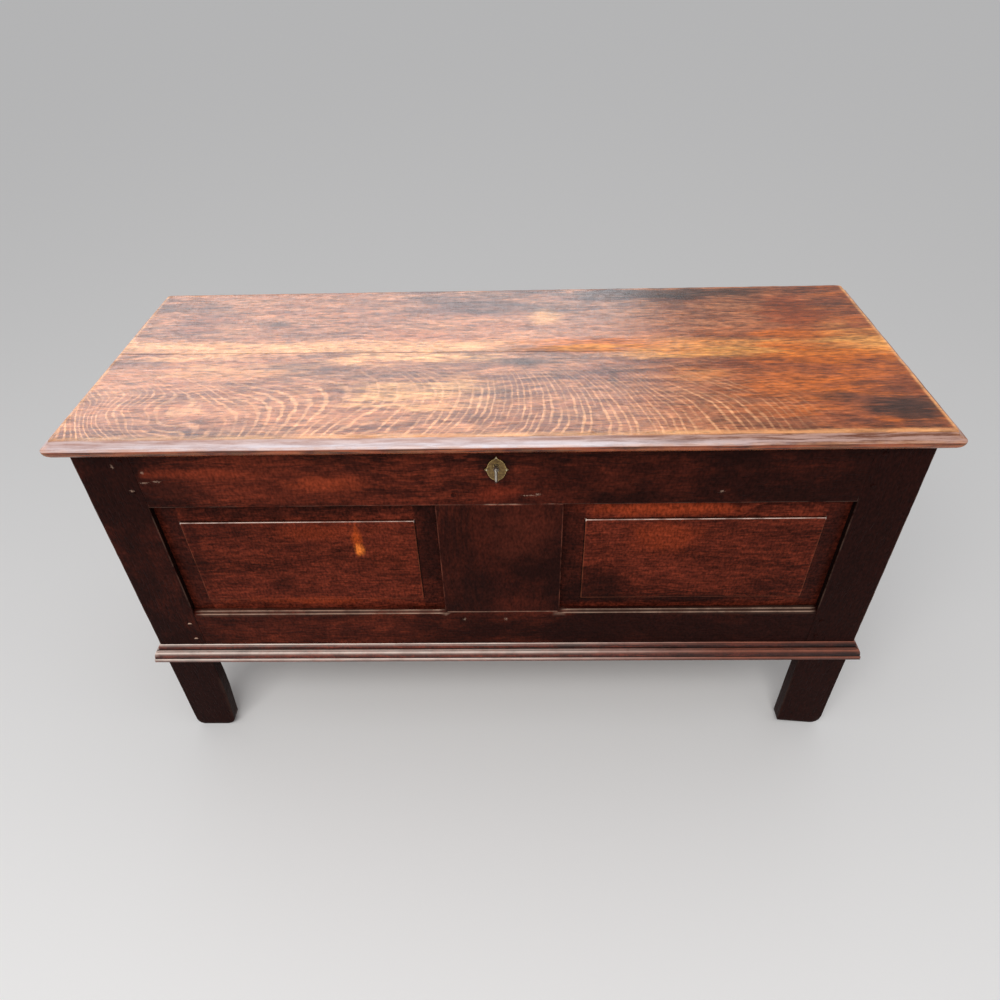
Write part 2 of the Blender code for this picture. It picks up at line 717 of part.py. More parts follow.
def lid_profile():
    """Lid edge from the underside up: (distance in from the nose, height above the underside)."""
    under = arc((LID_UNDER_ROUND, LID_NOSE_HEIGHT), (LID_UNDER_ROUND, LID_NOSE_HEIGHT), 270, 180, ARC_STEPS)
    cove_foot = LID_THICK - LID_COVE_HEIGHT
    nose_rise = cove_foot - LID_NOSE_HEIGHT
    nose = arc((LID_NOSE_ROUND, LID_NOSE_HEIGHT), (LID_NOSE_ROUND, nose_rise), 180, 90, 2)[1:]
    run = LID_COVE_WIDTH - LID_NOSE_ROUND
    cove = []
    for i in range(1, ARC_STEPS + 1):
        share = i / ARC_STEPS
        cove.append((LID_NOSE_ROUND + run * share, cove_foot + LID_COVE_HEIGHT * share**2))
    return under + nose + cove


def lid_joint_y(x):
    """The joint between the lid's two boards, which runs at a slight slant."""
    share = (x + LID_HALF) / (2 * LID_HALF)
    return LID_FRONT + FRONT_BOARD_LEFT + (FRONT_BOARD_RIGHT - FRONT_BOARD_LEFT) * share


def build_lid_boards(oak, lid):
    front_rings, back_rings = [], []
    for inset, up in lid_profile():
        z = LID_UNDER + up
        left, right = -LID_HALF + inset, LID_HALF - inset
        joint_left, joint_right = lid_joint_y(left), lid_joint_y(right)
        nose = LID_FRONT + inset
        front_rings.append(
            [
                (left, nose, z),
                (right, nose, z),
                (right, joint_right - FIT / 2, z),
                (left, joint_left - FIT / 2, z),
            ]
        )
        back_rings.append(
            [
                (left, joint_left + FIT / 2, z),
                (right, joint_right + FIT / 2, z),
                (right, LID_BACK, z),
                (left, LID_BACK, z),
            ]
        )
    boards = []
    for name, rings in (("lid_front_board", front_rings), ("lid_back_board", back_rings)):
        bm = bmesh.new()
        add_loft(bm, rings)
        boards.append(piece(name, bm, oak["lid"], lid))
    return boards


def build_lid(oak, iron, lid):
    """Two boards edge to edge, with two battens nailed across their underside."""
    boards = build_lid_boards(oak, lid)
    front, back = INNER_FRONT + BATTEN_CLEAR, INNER_BACK - BATTEN_CLEAR
    top = LID_UNDER - FIT
    for side in (LEFT, RIGHT):
        x = SIGN[side] * BATTEN_X
        low, high = (x - BATTEN_WIDTH / 2, top - BATTEN_THICK), (x + BATTEN_WIDTH / 2, top)
        shy = (low[0], top - BATTEN_THICK / 2)
        bm = bmesh.new()
        sections = [
            (front, shy, high),
            (front + BATTEN_THICK / 2, low, high),
            (back - BATTEN_THICK / 2, low, high),
            (back, shy, high),
        ]
        add_bar(bm, Y_AXIS, sections)
        batten = piece(f"lid_batten_{side}", bm, oak["inside"], lid)
        nails = (("front", front + BATTEN_NAIL_INSET), ("back", back - BATTEN_NAIL_INSET))
        for (end, y), board in zip(nails, boards):
            nail = (Z_AXIS, (x, y), top - BATTEN_THICK - FIT, LID_UNDER + LID_NAIL_BITE)
            bm, hole = bmesh.new(), bmesh.new()
            add_nail(bm, *nail)
            piece(f"batten_nail_{side}_{end}", bm, iron, lid)
            add_nail_hole(hole, *nail)
            shape = tool(f"batten_nail_{side}_{end}_hole", hole)
            cut(batten, shape)
            cut(board, shape)
    return boards


def add_barrel(bm, start, end, radius):
    add_turning(bm, X_AXIS, (HINGE_Y, HINGE_Z), [(start, radius), (end, radius)], ROUND_SIDES)


def hinge_strap(x, name, iron, lid):
    """The strap under the lid, with the middle knuckle."""
    half, middle, tip = HINGE_WIDTH / 2, HINGE_KNUCKLE / 2, STRAP_TIP_WIDTH / 2
    root = HINGE_Y - HINGE_BARREL - HINGE_ROOT_CLEAR
    tip_y = HINGE_Y - STRAP_LENGTH + tip
    outline = [(x + middle, HINGE_Y), (x + middle, root), (x + half, root)]
    outline += arc((x, tip_y), (tip, tip), 0, -180, 2 * ARC_STEPS)
    outline += [(x - half, root), (x - middle, root), (x - middle, HINGE_Y)]
    bm = bmesh.new()
    add_plate(bm, Z_AXIS, BODY_HEIGHT - STRAP_THICK, BODY_HEIGHT, outline)
    strap = piece(name, bm, iron, lid)
    bm = bmesh.new()
    add_barrel(bm, x - middle, x + middle, HINGE_BARREL)
    join(strap, tool(name + "_knuckle", bm))
    return strap


def hinge_leaf(x, name, iron, carcass):
    """The leaf on the carcass's back, with the two outer knuckles."""
    half, gap = HINGE_WIDTH / 2, HINGE_KNUCKLE / 2 + FIT
    root = HINGE_Z - HINGE_BARREL - HINGE_ROOT_CLEAR
    bottom = HINGE_Z - LEAF_HEIGHT
    outline = [(x - half, bottom), (x + half, bottom), (x + half, HINGE_Z), (x + gap, HINGE_Z)]
    outline += [(x + gap, root), (x - gap, root), (x - gap, HINGE_Z), (x - half, HINGE_Z)]
    bm = bmesh.new()
    add_plate(bm, Y_AXIS, BACK + FIT, BACK + FIT + STRAP_THICK, outline)
    leaf = piece(name, bm, iron, carcass)
    bm = bmesh.new()
    for side in (LEFT, RIGHT):
        add_barrel(bm, x + SIGN[side] * gap, x + SIGN[side] * half, HINGE_BARREL)
    join(leaf, tool(name + "_knuckles", bm))
    return leaf


def build_hinges(boards, back_top_rail, iron, carcass, lid):
    """Two strap hinges, with the back rail let down where the straps cross it."""
    notches = bmesh.new()
    half = HINGE_WIDTH / 2
    for side in (LEFT, RIGHT):
        x = SIGN[side] * HINGE_X
        strap = hinge_strap(x, f"{side}_hinge_strap", iron, lid)
        leaf = hinge_leaf(x, f"{side}_hinge_leaf", iron, carcass)
        bm = bmesh.new()
        add_barrel(bm, x - half - OVERCUT, x + half + OVERCUT, HINGE_PIN + FIT)
        bore = tool(f"{side}_hinge_bore", bm)
        cut(strap, bore)
        cut(leaf, bore)
        bm = bmesh.new()
        end = half + FIT
        outline = [
            (x - end - HINGE_PIN_RIVET, HINGE_PIN_HEAD),
            (x - end, HINGE_PIN_HEAD),
            (x - end, HINGE_PIN),
            (x + end, HINGE_PIN),
            (x + end, HINGE_PIN_HEAD),
            (x + end + HINGE_PIN_RIVET, HINGE_PIN_HEAD),
        ]
        add_turning(bm, X_AXIS, (HINGE_Y, HINGE_Z), outline, ROUND_SIDES)
        piece(f"{side}_hinge_pin", bm, iron, carcass)

        corner = (x - half - FIT, INNER_BACK - OVERCUT, BODY_HEIGHT - STRAP_THICK - FIT)
        add_box(notches, corner, (x + half + FIT, BACK + OVERCUT, BODY_HEIGHT + OVERCUT))
        first, last = INNER_BACK - STRAP_NAIL_INSET, HINGE_Y - STRAP_LENGTH + STRAP_TIP_WIDTH / 2
        seat, tip = BODY_HEIGHT - STRAP_THICK, LID_UNDER + LID_NAIL_BITE
        nails = [(Z_AXIS, (x, y), seat, tip) for y in (first, (first + last) / 2, last)]
        riveted(strap, nails, boards[1:])
        seat, tip = BACK + FIT + STRAP_THICK, BACK - FRAME_NAIL_BITE
        spread = HINGE_WIDTH / 4
        places = ((0, LEAF_NAIL_TOP), (-spread, LEAF_NAIL_LOW), (spread, LEAF_NAIL_LOW))
        nails = [(Y_AXIS, (x + offset, HINGE_Z - drop), seat, tip) for offset, drop in places]
        riveted(leaf, nails, [back_top_rail])
    cut(back_top_rail, tool("hinge_notches", notches))


def keyhole_outline():
    """The round of the shank with the slot of the bit below it, as X and Z."""
    radius = KEY_SHANK + KEYHOLE_CLEAR
    half = KEY_BIT_THICK / 2 + KEYHOLE_CLEAR
    corner = math.degrees(math.asin(half / radius))
    outline = arc((LOCK_X, KEY_Z), (radius, radius), 270 + corner - 360, 270 - corner, 3 * ARC_STEPS)
    bottom = KEY_Z - KEY_BIT_REACH - KEYHOLE_CLEAR
    return outline + [(LOCK_X - half, bottom), (LOCK_X + half, bottom)]


def talon_half_width():
    """Half the bolt's notch, wide enough for the bit through the whole turn that slides the bolt."""
    widest = 0.0
    for step in range(91):
        turn = math.radians(step)
        slid = BOLT_TRAVEL * turn / (2 * math.pi)
        for half in (-KEY_BIT_THICK / 2, KEY_BIT_THICK / 2):
            x = KEY_BIT_REACH * math.sin(turn) + half * math.cos(turn)
            z = KEY_BIT_REACH * math.cos(turn) - half * math.sin(turn)
            if z > BOLT_RISE:
                widest = max(widest, x - slid)
    return widest + TALON_CLEAR


def lock_plate(iron, carcass):
    """Plate and selvedge in one, with two keepers for the bolt and the drill pin."""
    half = LOCK_PLATE_WIDTH / 2
    low = BODY_HEIGHT - LOCK_PLATE_HEIGHT
    section = [
        (INNER_FRONT, low),
        (INNER_FRONT, BODY_HEIGHT),
        (LOCK_FACE, BODY_HEIGHT),
        (LOCK_FACE, SELVEDGE_UNDER),
        (PLATE_FACE, SELVEDGE_UNDER),
        (PLATE_FACE, low),
    ]
    bm = bmesh.new()
    add_plate(bm, X_AXIS, LOCK_X - half, LOCK_X + half, section)
    plate = piece("lock_plate", bm, iron, carcass)

    bolt_half = BOLT_THICK / 2 + FIT
    rooted = PLATE_FACE + LOCK_PLATE_THICK / 2
    bm, windows = bmesh.new(), bmesh.new()
    for x in (LOCK_X + KEEPER_TAIL_X, LOCK_X + KEEPER_TIP_X):
        near, far = x - KEEPER_THICK / 2, x + KEEPER_THICK / 2
        corner = (near, LOCK_Y - bolt_half - KEEPER_WALL, BOLT_LOW - FIT - KEEPER_WALL)
        add_box(bm, corner, (far, rooted, BOLT_HIGH + FIT + KEEPER_WALL))
        corner = (near - OVERCUT, LOCK_Y - bolt_half, BOLT_LOW - FIT)
        add_box(windows, corner, (far + OVERCUT, LOCK_Y + bolt_half, BOLT_HIGH + FIT))
    pin = [(rooted, DRILL_PIN), (PLATE_FACE - DRILL_PIN_LENGTH, DRILL_PIN)]
    add_turning(bm, Y_AXIS, (LOCK_X, KEY_Z), pin, PEG_SIDES)
    join(plate, tool("lock_keepers", bm))
    cut(plate, tool("lock_keeper_windows", windows))

    bm = bmesh.new()
    x, swing = LOCK_X + STAPLE_X, STAPLE_TAB_DEPTH / 2 + SLOT_SWING
    wide = STAPLE_TAB_THICK / 2 + 2 * STAPLE_EYE_CLEAR
    corner = (x - wide, LOCK_Y - swing, SELVEDGE_UNDER - OVERCUT)
    back = LOCK_Y + STAPLE_TAB_DEPTH / 2 + 2 * FIT
    add_box(bm, corner, (x + wide, back, BODY_HEIGHT + OVERCUT))
    cut(plate, tool("selvedge_slot", bm))
    return plate


def lock_cap(iron, carcass):
    """The tray that covers the works, open at the top and towards the plate."""
    half, low = LOCK_CASE_WIDTH / 2, BODY_HEIGHT - LOCK_CASE_HEIGHT
    wall = LOCK_CAP_WALL
    bm = bmesh.new()
    corner = (LOCK_X - half, LOCK_FACE, low)
    add_box(bm, corner, (LOCK_X + half, PLATE_FACE - FIT, SELVEDGE_UNDER - FIT))
    cap = piece("lock_cap", bm, iron, carcass)
    bm = bmesh.new()
    corner = (LOCK_X - half + wall, LOCK_FACE + wall, low + wall)
    add_box(bm, corner, (LOCK_X + half - wall, PLATE_FACE + OVERCUT, SELVEDGE_UNDER + OVERCUT))
    cut(cap, tool("lock_cap_hollow", bm))
    bm = bmesh.new()
    add_plate(bm, Y_AXIS, LOCK_FACE - OVERCUT, LOCK_FACE + wall + OVERCUT, keyhole_outline())
    cut(cap, tool("lock_cap_keyhole", bm))


def lock_bolt(iron, slide):
    """The bolt, thrown by the key's bit in the notch of its lower edge."""
    tail, tip = LOCK_X - BOLT_TAIL, LOCK_X + BOLT_TIP
    notch, half = LOCK_X - BOLT_TRAVEL / 2, talon_half_width()
    notch_top = KEY_Z + KEY_BIT_REACH + TALON_CLEAR
    outline = [
        (tail, BOLT_LOW),
        (notch - half, BOLT_LOW),
        (notch - half, notch_top),
        (notch + half, notch_top),
        (notch + half, BOLT_LOW),
        (tip, BOLT_LOW),
        (tip, BOLT_HIGH),
        (tail, BOLT_HIGH),
    ]
    bm = bmesh.new()
    add_plate(bm, Y_AXIS, LOCK_Y - BOLT_THICK / 2, LOCK_Y + BOLT_THICK / 2, outline)
    piece("lock_bolt", bm, iron, slide)


def bolt_spring(iron, carcass):
    """A bowed leaf that bears on the selvedge in the middle and on the bolt at both ends."""
    low, high = BOLT_HIGH + FIT, SELVEDGE_UNDER - FIT - SPRING_THICK
    middle = (KEEPER_TAIL_X + KEEPER_TIP_X) / 2 + LOCK_X
    steps = 2 * ARC_STEPS
    under, over = [], []
    for i in range(steps + 1):
        share = i / steps
        x = middle + (share - 0.5) * SPRING_LENGTH
        z = low + (high - low) * math.sin(math.pi * share)
        under.append((x, z))
        over.append((x, z + SPRING_THICK))
    bm = bmesh.new()
    half = SPRING_WIDTH / 2
    add_plate(bm, Y_AXIS, LOCK_Y - half, LOCK_Y + half, under + over[::-1])
    piece("bolt_spring", bm, iron, carcass)


def house_lock(top_rail):
    """Cuts the top rail for the lock: case, plate, selvedge and keyhole."""
    plate_half, case_half = LOCK_PLATE_WIDTH / 2 + FIT, LOCK_CASE_WIDTH / 2 + FIT
    above, inside = BODY_HEIGHT + OVERCUT, INNER_FRONT + OVERCUT
    plate_low = BODY_HEIGHT - LOCK_PLATE_HEIGHT - FIT
    case_low = BODY_HEIGHT - LOCK_CASE_HEIGHT - FIT
    cuts = (
        ("lock_plate_seat", plate_half, PLATE_FACE - FIT, plate_low),
        ("lock_case_seat", case_half, LOCK_FACE - FIT, case_low),
        ("selvedge_seat", plate_half, LOCK_FACE - FIT, SELVEDGE_UNDER - FIT),
    )
    for name, half, face, low in cuts:
        bm = bmesh.new()
        add_box(bm, (LOCK_X - half, face, low), (LOCK_X + half, inside, above))
        cut(top_rail, tool(name, bm))
    bm = bmesh.new()
    add_plate(bm, Y_AXIS, FRONT - OVERCUT, LOCK_FACE + OVERCUT, keyhole_outline())
    cut(top_rail, tool("rail_keyhole", bm))


def lid_staple(front_board, iron, lid):
    """The staple let into the lid, whose eye takes the bolt."""
    x = LOCK_X + STAPLE_X
    half = STAPLE_PLATE_LENGTH / 2
    near, far = LOCK_Y - STAPLE_PLATE_DEPTH / 2, LOCK_Y + STAPLE_PLATE_DEPTH / 2
    bm = bmesh.new()
    add_box(bm, (x - half, near, LID_UNDER), (x + half, far, LID_UNDER + STAPLE_PLATE_THICK))
    staple = piece("lid_staple", bm, iron, lid)
    bm = bmesh.new()
    tab = STAPLE_TAB_THICK / 2
    tab_low = BOLT_LOW - STAPLE_EYE_CLEAR - STAPLE_LIP
    corner = (x - tab, LOCK_Y - STAPLE_TAB_DEPTH / 2, tab_low)
    add_box(bm, corner, (x + tab, LOCK_Y + STAPLE_TAB_DEPTH / 2, LID_UNDER + STAPLE_PLATE_THICK / 2))
    join(staple, tool("staple_tab", bm))
    bm = bmesh.new()
    eye = BOLT_THICK / 2 + STAPLE_EYE_CLEAR
    corner = (x - tab - OVERCUT, LOCK_Y - eye, BOLT_LOW - STAPLE_EYE_CLEAR)
    add_box(bm, corner, (x + tab + OVERCUT, LOCK_Y + eye, BOLT_HIGH + STAPLE_EYE_CLEAR))
    cut(staple, tool("staple_eye", bm))
    bm = bmesh.new()
    corner = (x - half - FIT, near - FIT, LID_UNDER - OVERCUT)
    add_box(bm, corner, (x + half + FIT, far + FIT, LID_UNDER + STAPLE_PLATE_THICK + FIT))
    cut(front_board, tool("staple_seat", bm))
    bm, holes = bmesh.new(), bmesh.new()
    for side in (LEFT, RIGHT):
        place = (x + SIGN[side] * STAPLE_PRONG_SPREAD, LOCK_Y)
        tip = LID_UNDER + LID_NAIL_BITE
        prong = [(LID_UNDER + STAPLE_PLATE_THICK / 2, NAIL_RADIUS), (tip, NAIL_RADIUS * NAIL_POINT)]
        add_turning(bm, Z_AXIS, place, prong, NAIL_SIDES)
        add_nail_hole(holes, Z_AXIS, place, LID_UNDER, tip)
    join(staple, tool("staple_prongs", bm))
    cut(front_board, tool("staple_prong_holes", holes))


def escutcheon_outline():
    """An oval with a pointed cusp at the top, bottom and each side, as X and Z."""
    outline = []
    for i in range(ESCUTCHEON_SEGMENTS):
        angle = 2 * math.pi * i / ESCUTCHEON_SEGMENTS
        x, z = math.cos(angle), math.sin(angle)
        quarter = (math.degrees(angle) + 45) % 90 - 45
        cusp = max(0.0, 1 - abs(quarter) / ESCUTCHEON_CUSP_ANGLE) ** ESCUTCHEON_CUSP_CURVE
        reach = ESCUTCHEON_CUSP_SIDE if abs(x) > abs(z) else ESCUTCHEON_CUSP_END
        width = ESCUTCHEON_WIDTH / 2 + cusp * reach
        height = ESCUTCHEON_HEIGHT / 2 + cusp * reach
        outline.append((LOCK_X + width * x, ESCUTCHEON_Z + height * z))
    return outline


def build_escutcheon(top_rail, brass, carcass):
    """The brass keyhole plate, in one with the pin in each of its cusps."""
    back = FRONT - FIT
    front = back - ESCUTCHEON_THICK
    bm = bmesh.new()
    add_plate(bm, Y_AXIS, front, back, escutcheon_outline())
    plate = piece("escutcheon", bm, brass, carcass)
    bm = bmesh.new()
    add_plate(bm, Y_AXIS, front - OVERCUT, back + OVERCUT, keyhole_outline())
    cut(plate, tool("escutcheon_keyhole", bm))

    wide = ESCUTCHEON_WIDTH / 2 + ESCUTCHEON_CUSP_SIDE - ESCUTCHEON_PIN_INSET
    tall = ESCUTCHEON_HEIGHT / 2 + ESCUTCHEON_CUSP_END - ESCUTCHEON_PIN_INSET
    bm, holes = bmesh.new(), bmesh.new()
    tip = FRONT + ESCUTCHEON_PIN_LENGTH
    for x, z in ((wide, 0), (-wide, 0), (0, tall), (0, -tall)):
        place = (LOCK_X + x, ESCUTCHEON_Z + z)
        pin = [
            (front - ESCUTCHEON_PIN_RISE, ESCUTCHEON_PIN_HEAD * ESCUTCHEON_PIN_CROWN),
            (front + FIT, ESCUTCHEON_PIN_HEAD),
            (front + FIT, ESCUTCHEON_PIN_RADIUS),
            (tip, ESCUTCHEON_PIN_RADIUS),
        ]
        add_turning(bm, Y_AXIS, place, pin, PEG_SIDES)
        bore = ESCUTCHEON_PIN_RADIUS + FIT
        add_turning(holes, Y_AXIS, place, [(front - OVERCUT, bore), (tip + FIT, bore)], PEG_SIDES)
    join(plate, tool("escutcheon_pins", bm))
    cut(top_rail, tool("escutcheon_pin_holes", holes))


def add_bow(bm):
    """The key's oval bow: a closed ring of round wire in the plane of the bit."""
    around, sides = BOW_STEPS, PEG_SIDES
    middle_y = FRONT - KEY_REACH + KEY_BOW_LENGTH / 2
    run_y, run_z = KEY_BOW_LENGTH / 2 - KEY_BOW_WIRE, KEY_BOW_HEIGHT / 2 - KEY_BOW_WIRE
    rings = []
    for i in range(around):
        angle = 2 * math.pi * i / around
        centre = Vector((LOCK_X, middle_y + run_y * math.cos(angle), KEY_Z + run_z * math.sin(angle)))
        out = Vector((0, math.cos(angle) / run_y, math.sin(angle) / run_z)).normalized()
        ring = []
        for j in range(sides):
            turn = 2 * math.pi * j / sides
            offset = out * math.cos(turn) + Vector((math.sin(turn), 0, 0))
            ring.append(bm.verts.new(centre + KEY_BOW_WIRE * offset))
        rings.append(ring)
    for i, ring in enumerate(rings):
        after = rings[(i + 1) % around]
        for j, corner in enumerate(ring):
            k = (j + 1) % sides
            bm.faces.new((corner, ring[k], after[k], after[j]))


def build_key(steel, axis):
    """A piped key with an oval bow, its bit hanging down as it stands in the lock."""
    bow_end = FRONT - KEY_REACH + KEY_BOW_LENGTH
    pipe_end = PLATE_FACE - KEY_PIPE_END_GAP
    outline = [
        (bow_end - KEY_BOW_WIRE, KEY_SHANK),
        (bow_end, KEY_COLLAR),
        (bow_end + KEY_COLLAR_LENGTH, KEY_COLLAR),
        (bow_end + KEY_COLLAR_LENGTH, KEY_SHANK),
        (pipe_end, KEY_SHANK),
    ]
    bm = bmesh.new()
    add_turning(bm, Y_AXIS, (LOCK_X, KEY_Z), outline, ROUND_SIDES)
    key = piece("key", bm, steel, axis)
    bm = bmesh.new()
    add_bow(bm)
    join(key, tool("key_bow", bm))
    bm = bmesh.new()
    half = KEY_BIT_THICK / 2
    rooted = KEY_Z - (KEY_BORE + KEY_SHANK) / 2
    corner = (LOCK_X - half, LOCK_Y - KEY_BIT_WIDTH / 2, KEY_Z - KEY_BIT_REACH)
    add_box(bm, corner, (LOCK_X + half, LOCK_Y + KEY_BIT_WIDTH / 2, rooted))
    join(key, tool("key_bit", bm))
    bm = bmesh.new()
    bore = [(pipe_end - KEY_BORE_DEPTH, KEY_BORE), (pipe_end + OVERCUT, KEY_BORE)]
    add_turning(bm, Y_AXIS, (LOCK_X, KEY_Z), bore, PEG_SIDES)
    cut(key, tool("key_pipe", bm))


def build_lock(top_rail, front_board, iron, carcass, lid, slide):
    """The lock in the top rail, nailed on through its plate, and its staple on the lid."""
    house_lock(top_rail)
    plate = lock_plate(iron, carcass)
    lock_cap(iron, carcass)
    lock_bolt(iron, slide)
    bolt_spring(iron, carcass)
    nails = []
    half = LOCK_PLATE_WIDTH / 2 - LOCK_NAIL_INSET
    low, high = LOCK_PLATE_HEIGHT - LOCK_NAIL_INSET, 2 * LOCK_NAIL_INSET
    for side in (LEFT, RIGHT):
        for drop in (low, high):
            place = (LOCK_X + SIGN[side] * half, BODY_HEIGHT - drop)
            nails.append((Y_AXIS, place, INNER_FRONT, INNER_FRONT - LOCK_NAIL_LENGTH))
    riveted(plate, nails, [top_rail])
    lid_staple(front_board, iron, lid)


def main():
    clear_scene()
    oak = {
        "frame": finish_material("dark_oak", (0.060, 0.016, 0.009), 0.38),
        "panel": finish_material("panel_oak", (0.085, 0.022, 0.011), 0.36),
        "lid": finish_material("lid_oak", (0.200, 0.070, 0.026), 0.30),
        "inside": finish_material("raw_oak", (0.260, 0.150, 0.075), 0.65),
        "peg": finish_material("peg_oak", (0.110, 0.045, 0.022), 0.45),
    }
    iron = finish_material("forged_iron", (0.055, 0.050, 0.046), 0.55, 0.9)
    brass = finish_material("old_brass", (0.480, 0.330, 0.130), 0.34, 1.0)
    steel = finish_material("key_steel", (0.520, 0.500, 0.470), 0.30, 1.0)

    carcass = axis_empty("carcass", (0, 0, 0))
    lid = axis_empty("lid_hinge_axis", (0, HINGE_Y, HINGE_Z))
    key_axis = axis_empty("key_axis", (LOCK_X, LOCK_Y, KEY_Z))
    slide = axis_empty("bolt_slide", (LOCK_X, LOCK_Y, (BOLT_LOW + BOLT_HIGH) / 2))

    front_groove = (FIELDED_SETBACK, FIELDED_TONGUE)
    plain_groove = (PLAIN_SETBACK, PLAIN_THICK)
    front = build_frame("front", front_groove, fielded_panel, oak, carcass)
    back = build_frame("back", plain_groove, plain_back_panel, oak, carcass)
    front_rails, back_rails = front[1], back[1]
    chamfer_bottom_rail(front_rails["bottom"])
    peg_front(*front, oak, carcass)
    for side in (LEFT, RIGHT):
        build_side(side, oak, carcass)
    build_moulding(oak, carcass)
    build_floor({"front": front_rails["bottom"], "back": back_rails["bottom"]}, oak, carcass)
    boards = build_lid(oak, iron, lid)
    build_hinges(boards, back_rails["top"], iron, carcass, lid)
    build_lock(front_rails["top"], boards[0], iron, carcass, lid, slide)
    build_escutcheon(front_rails["top"], brass, carcass)
    build_key(steel, key_axis)


main()
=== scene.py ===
"""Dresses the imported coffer: worn oak boards, pegs, brass and iron over the fixed frame."""

import json
import math

import bmesh
import bpy
from mathutils import Matrix, Vector

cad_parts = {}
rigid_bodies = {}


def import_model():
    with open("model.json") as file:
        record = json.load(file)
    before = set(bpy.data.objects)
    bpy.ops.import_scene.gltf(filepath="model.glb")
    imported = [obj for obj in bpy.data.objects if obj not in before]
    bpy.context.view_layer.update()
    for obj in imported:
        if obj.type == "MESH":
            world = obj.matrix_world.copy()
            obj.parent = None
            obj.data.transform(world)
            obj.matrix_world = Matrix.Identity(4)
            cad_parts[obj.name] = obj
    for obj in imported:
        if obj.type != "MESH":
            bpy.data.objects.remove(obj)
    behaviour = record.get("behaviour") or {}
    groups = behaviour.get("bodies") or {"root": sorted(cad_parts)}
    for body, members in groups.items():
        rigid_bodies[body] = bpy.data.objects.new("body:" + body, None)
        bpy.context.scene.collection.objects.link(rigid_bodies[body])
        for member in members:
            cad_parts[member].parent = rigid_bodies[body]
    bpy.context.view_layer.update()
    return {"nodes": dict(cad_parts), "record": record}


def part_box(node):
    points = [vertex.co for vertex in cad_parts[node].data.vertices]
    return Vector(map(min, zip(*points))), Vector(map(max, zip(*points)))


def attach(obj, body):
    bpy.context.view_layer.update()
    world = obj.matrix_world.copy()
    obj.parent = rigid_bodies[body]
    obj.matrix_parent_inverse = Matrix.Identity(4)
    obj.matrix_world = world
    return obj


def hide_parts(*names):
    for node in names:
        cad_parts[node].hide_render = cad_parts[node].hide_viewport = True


bl_info = {
    "name": "Joined Oak Coffer",
    "version": (1, 0, 0),
    "blender": (4, 5, 0),
    "location": "View3D > Sidebar > Coffer",
    "description": "Models and finishes a worn joined coffer over its packed frame",
    "category": "Add Mesh",
}

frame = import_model()

X, Y, Z = range(3)
SIDES = {"left": -1, "right": 1}
HEIGHTS = "top", "bottom"
LEAST_TURN = math.radians(9)  # an edge flatter than this isn't rubbed
FULL_TURN = math.radians(14)  # an edge this sharp is rubbed all it can be
SHARP = math.radians(38)  # an edge sharper than this is rounded
SMOOTH = math.radians(32)  # faces that meet flatter than this are shaded as one
SAME_PLACE = 1e-6  # points nearer than this are one
FLUSH = 1e-4  # a point nearer a face than this is on it
JOINT_REACH = 0.003  # how near a joint an arris is taken to be at it
CLEAR = Vector((0.0007, 0.0011, 0.0013))  # keeps a new outline's points apart from the last one's
RIM = 0.0019  # width of a rubbed line along an arris
BOARD_GAP = 0.0002  # between the lid's boards, and round the staple's seat
SEAT_GAP = 0.0003  # round the lock in its seat, and behind the base moulding
OVERCUT = 0.002  # how far a cutter stands out of what it cuts


def srgb(red, green, blue):
    """A colour as a screen shows it, 0 to 255, in the linear values that Blender mixes."""
    shares = [value / 255 for value in (red, green, blue)]
    return tuple(s / 12.92 if s <= 0.04045 else ((s + 0.055) / 1.055) ** 2.4 for s in shares)


# The frame's own places
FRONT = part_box("front_left_stile")[0].y
INNER_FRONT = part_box("front_left_stile")[1].y
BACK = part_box("back_left_stile")[1].y
INNER_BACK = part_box("back_left_stile")[0].y
HALF_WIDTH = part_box("front_right_stile")[1].x
OPENING_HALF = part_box("front_right_stile")[0].x
CARCASS_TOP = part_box("front_left_stile")[1].z
RAIL_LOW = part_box("front_bottom_rail")[0].z
OPENING_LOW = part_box("front_bottom_rail")[1].z
OPENING_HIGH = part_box("front_top_rail")[0].z
MUNTIN_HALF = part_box("front_muntin")[1].x
SIDE_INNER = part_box("right_top_rail")[0].x
LID_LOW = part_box("lid_front_board")[0]
LID_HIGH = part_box("lid_back_board")[1]
PLATE_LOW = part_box("escutcheon")[0]


def joint_end(side):
    """Where the joint between the lid's boards meets one end of the lid."""
    points = [vert.co for vert in frame["nodes"]["lid_front_board"].data.vertices]
    return max(co.y for co in points if co.x * side > HALF_WIDTH * 0.9)


JOINT_LEFT, JOINT_RIGHT = joint_end(-1), joint_end(1)


def from_joint(place):
    """How far a place is from the joint between the lid's boards."""
    share = (place.x / LID_HIGH.x + 1) / 2
    return abs(place.y - (JOINT_LEFT + (JOINT_RIGHT - JOINT_LEFT) * share))


def length(name, description, default):
    return bpy.props.FloatProperty(
        name=name, description=description, default=default, min=0.0, precision=5, unit="LENGTH"
    )


def tint(name, description, *default):
    return bpy.props.FloatVectorProperty(
        name=name, description=description, default=srgb(*default), min=0.0, max=1.0, size=3,
        subtype="COLOR"
    )


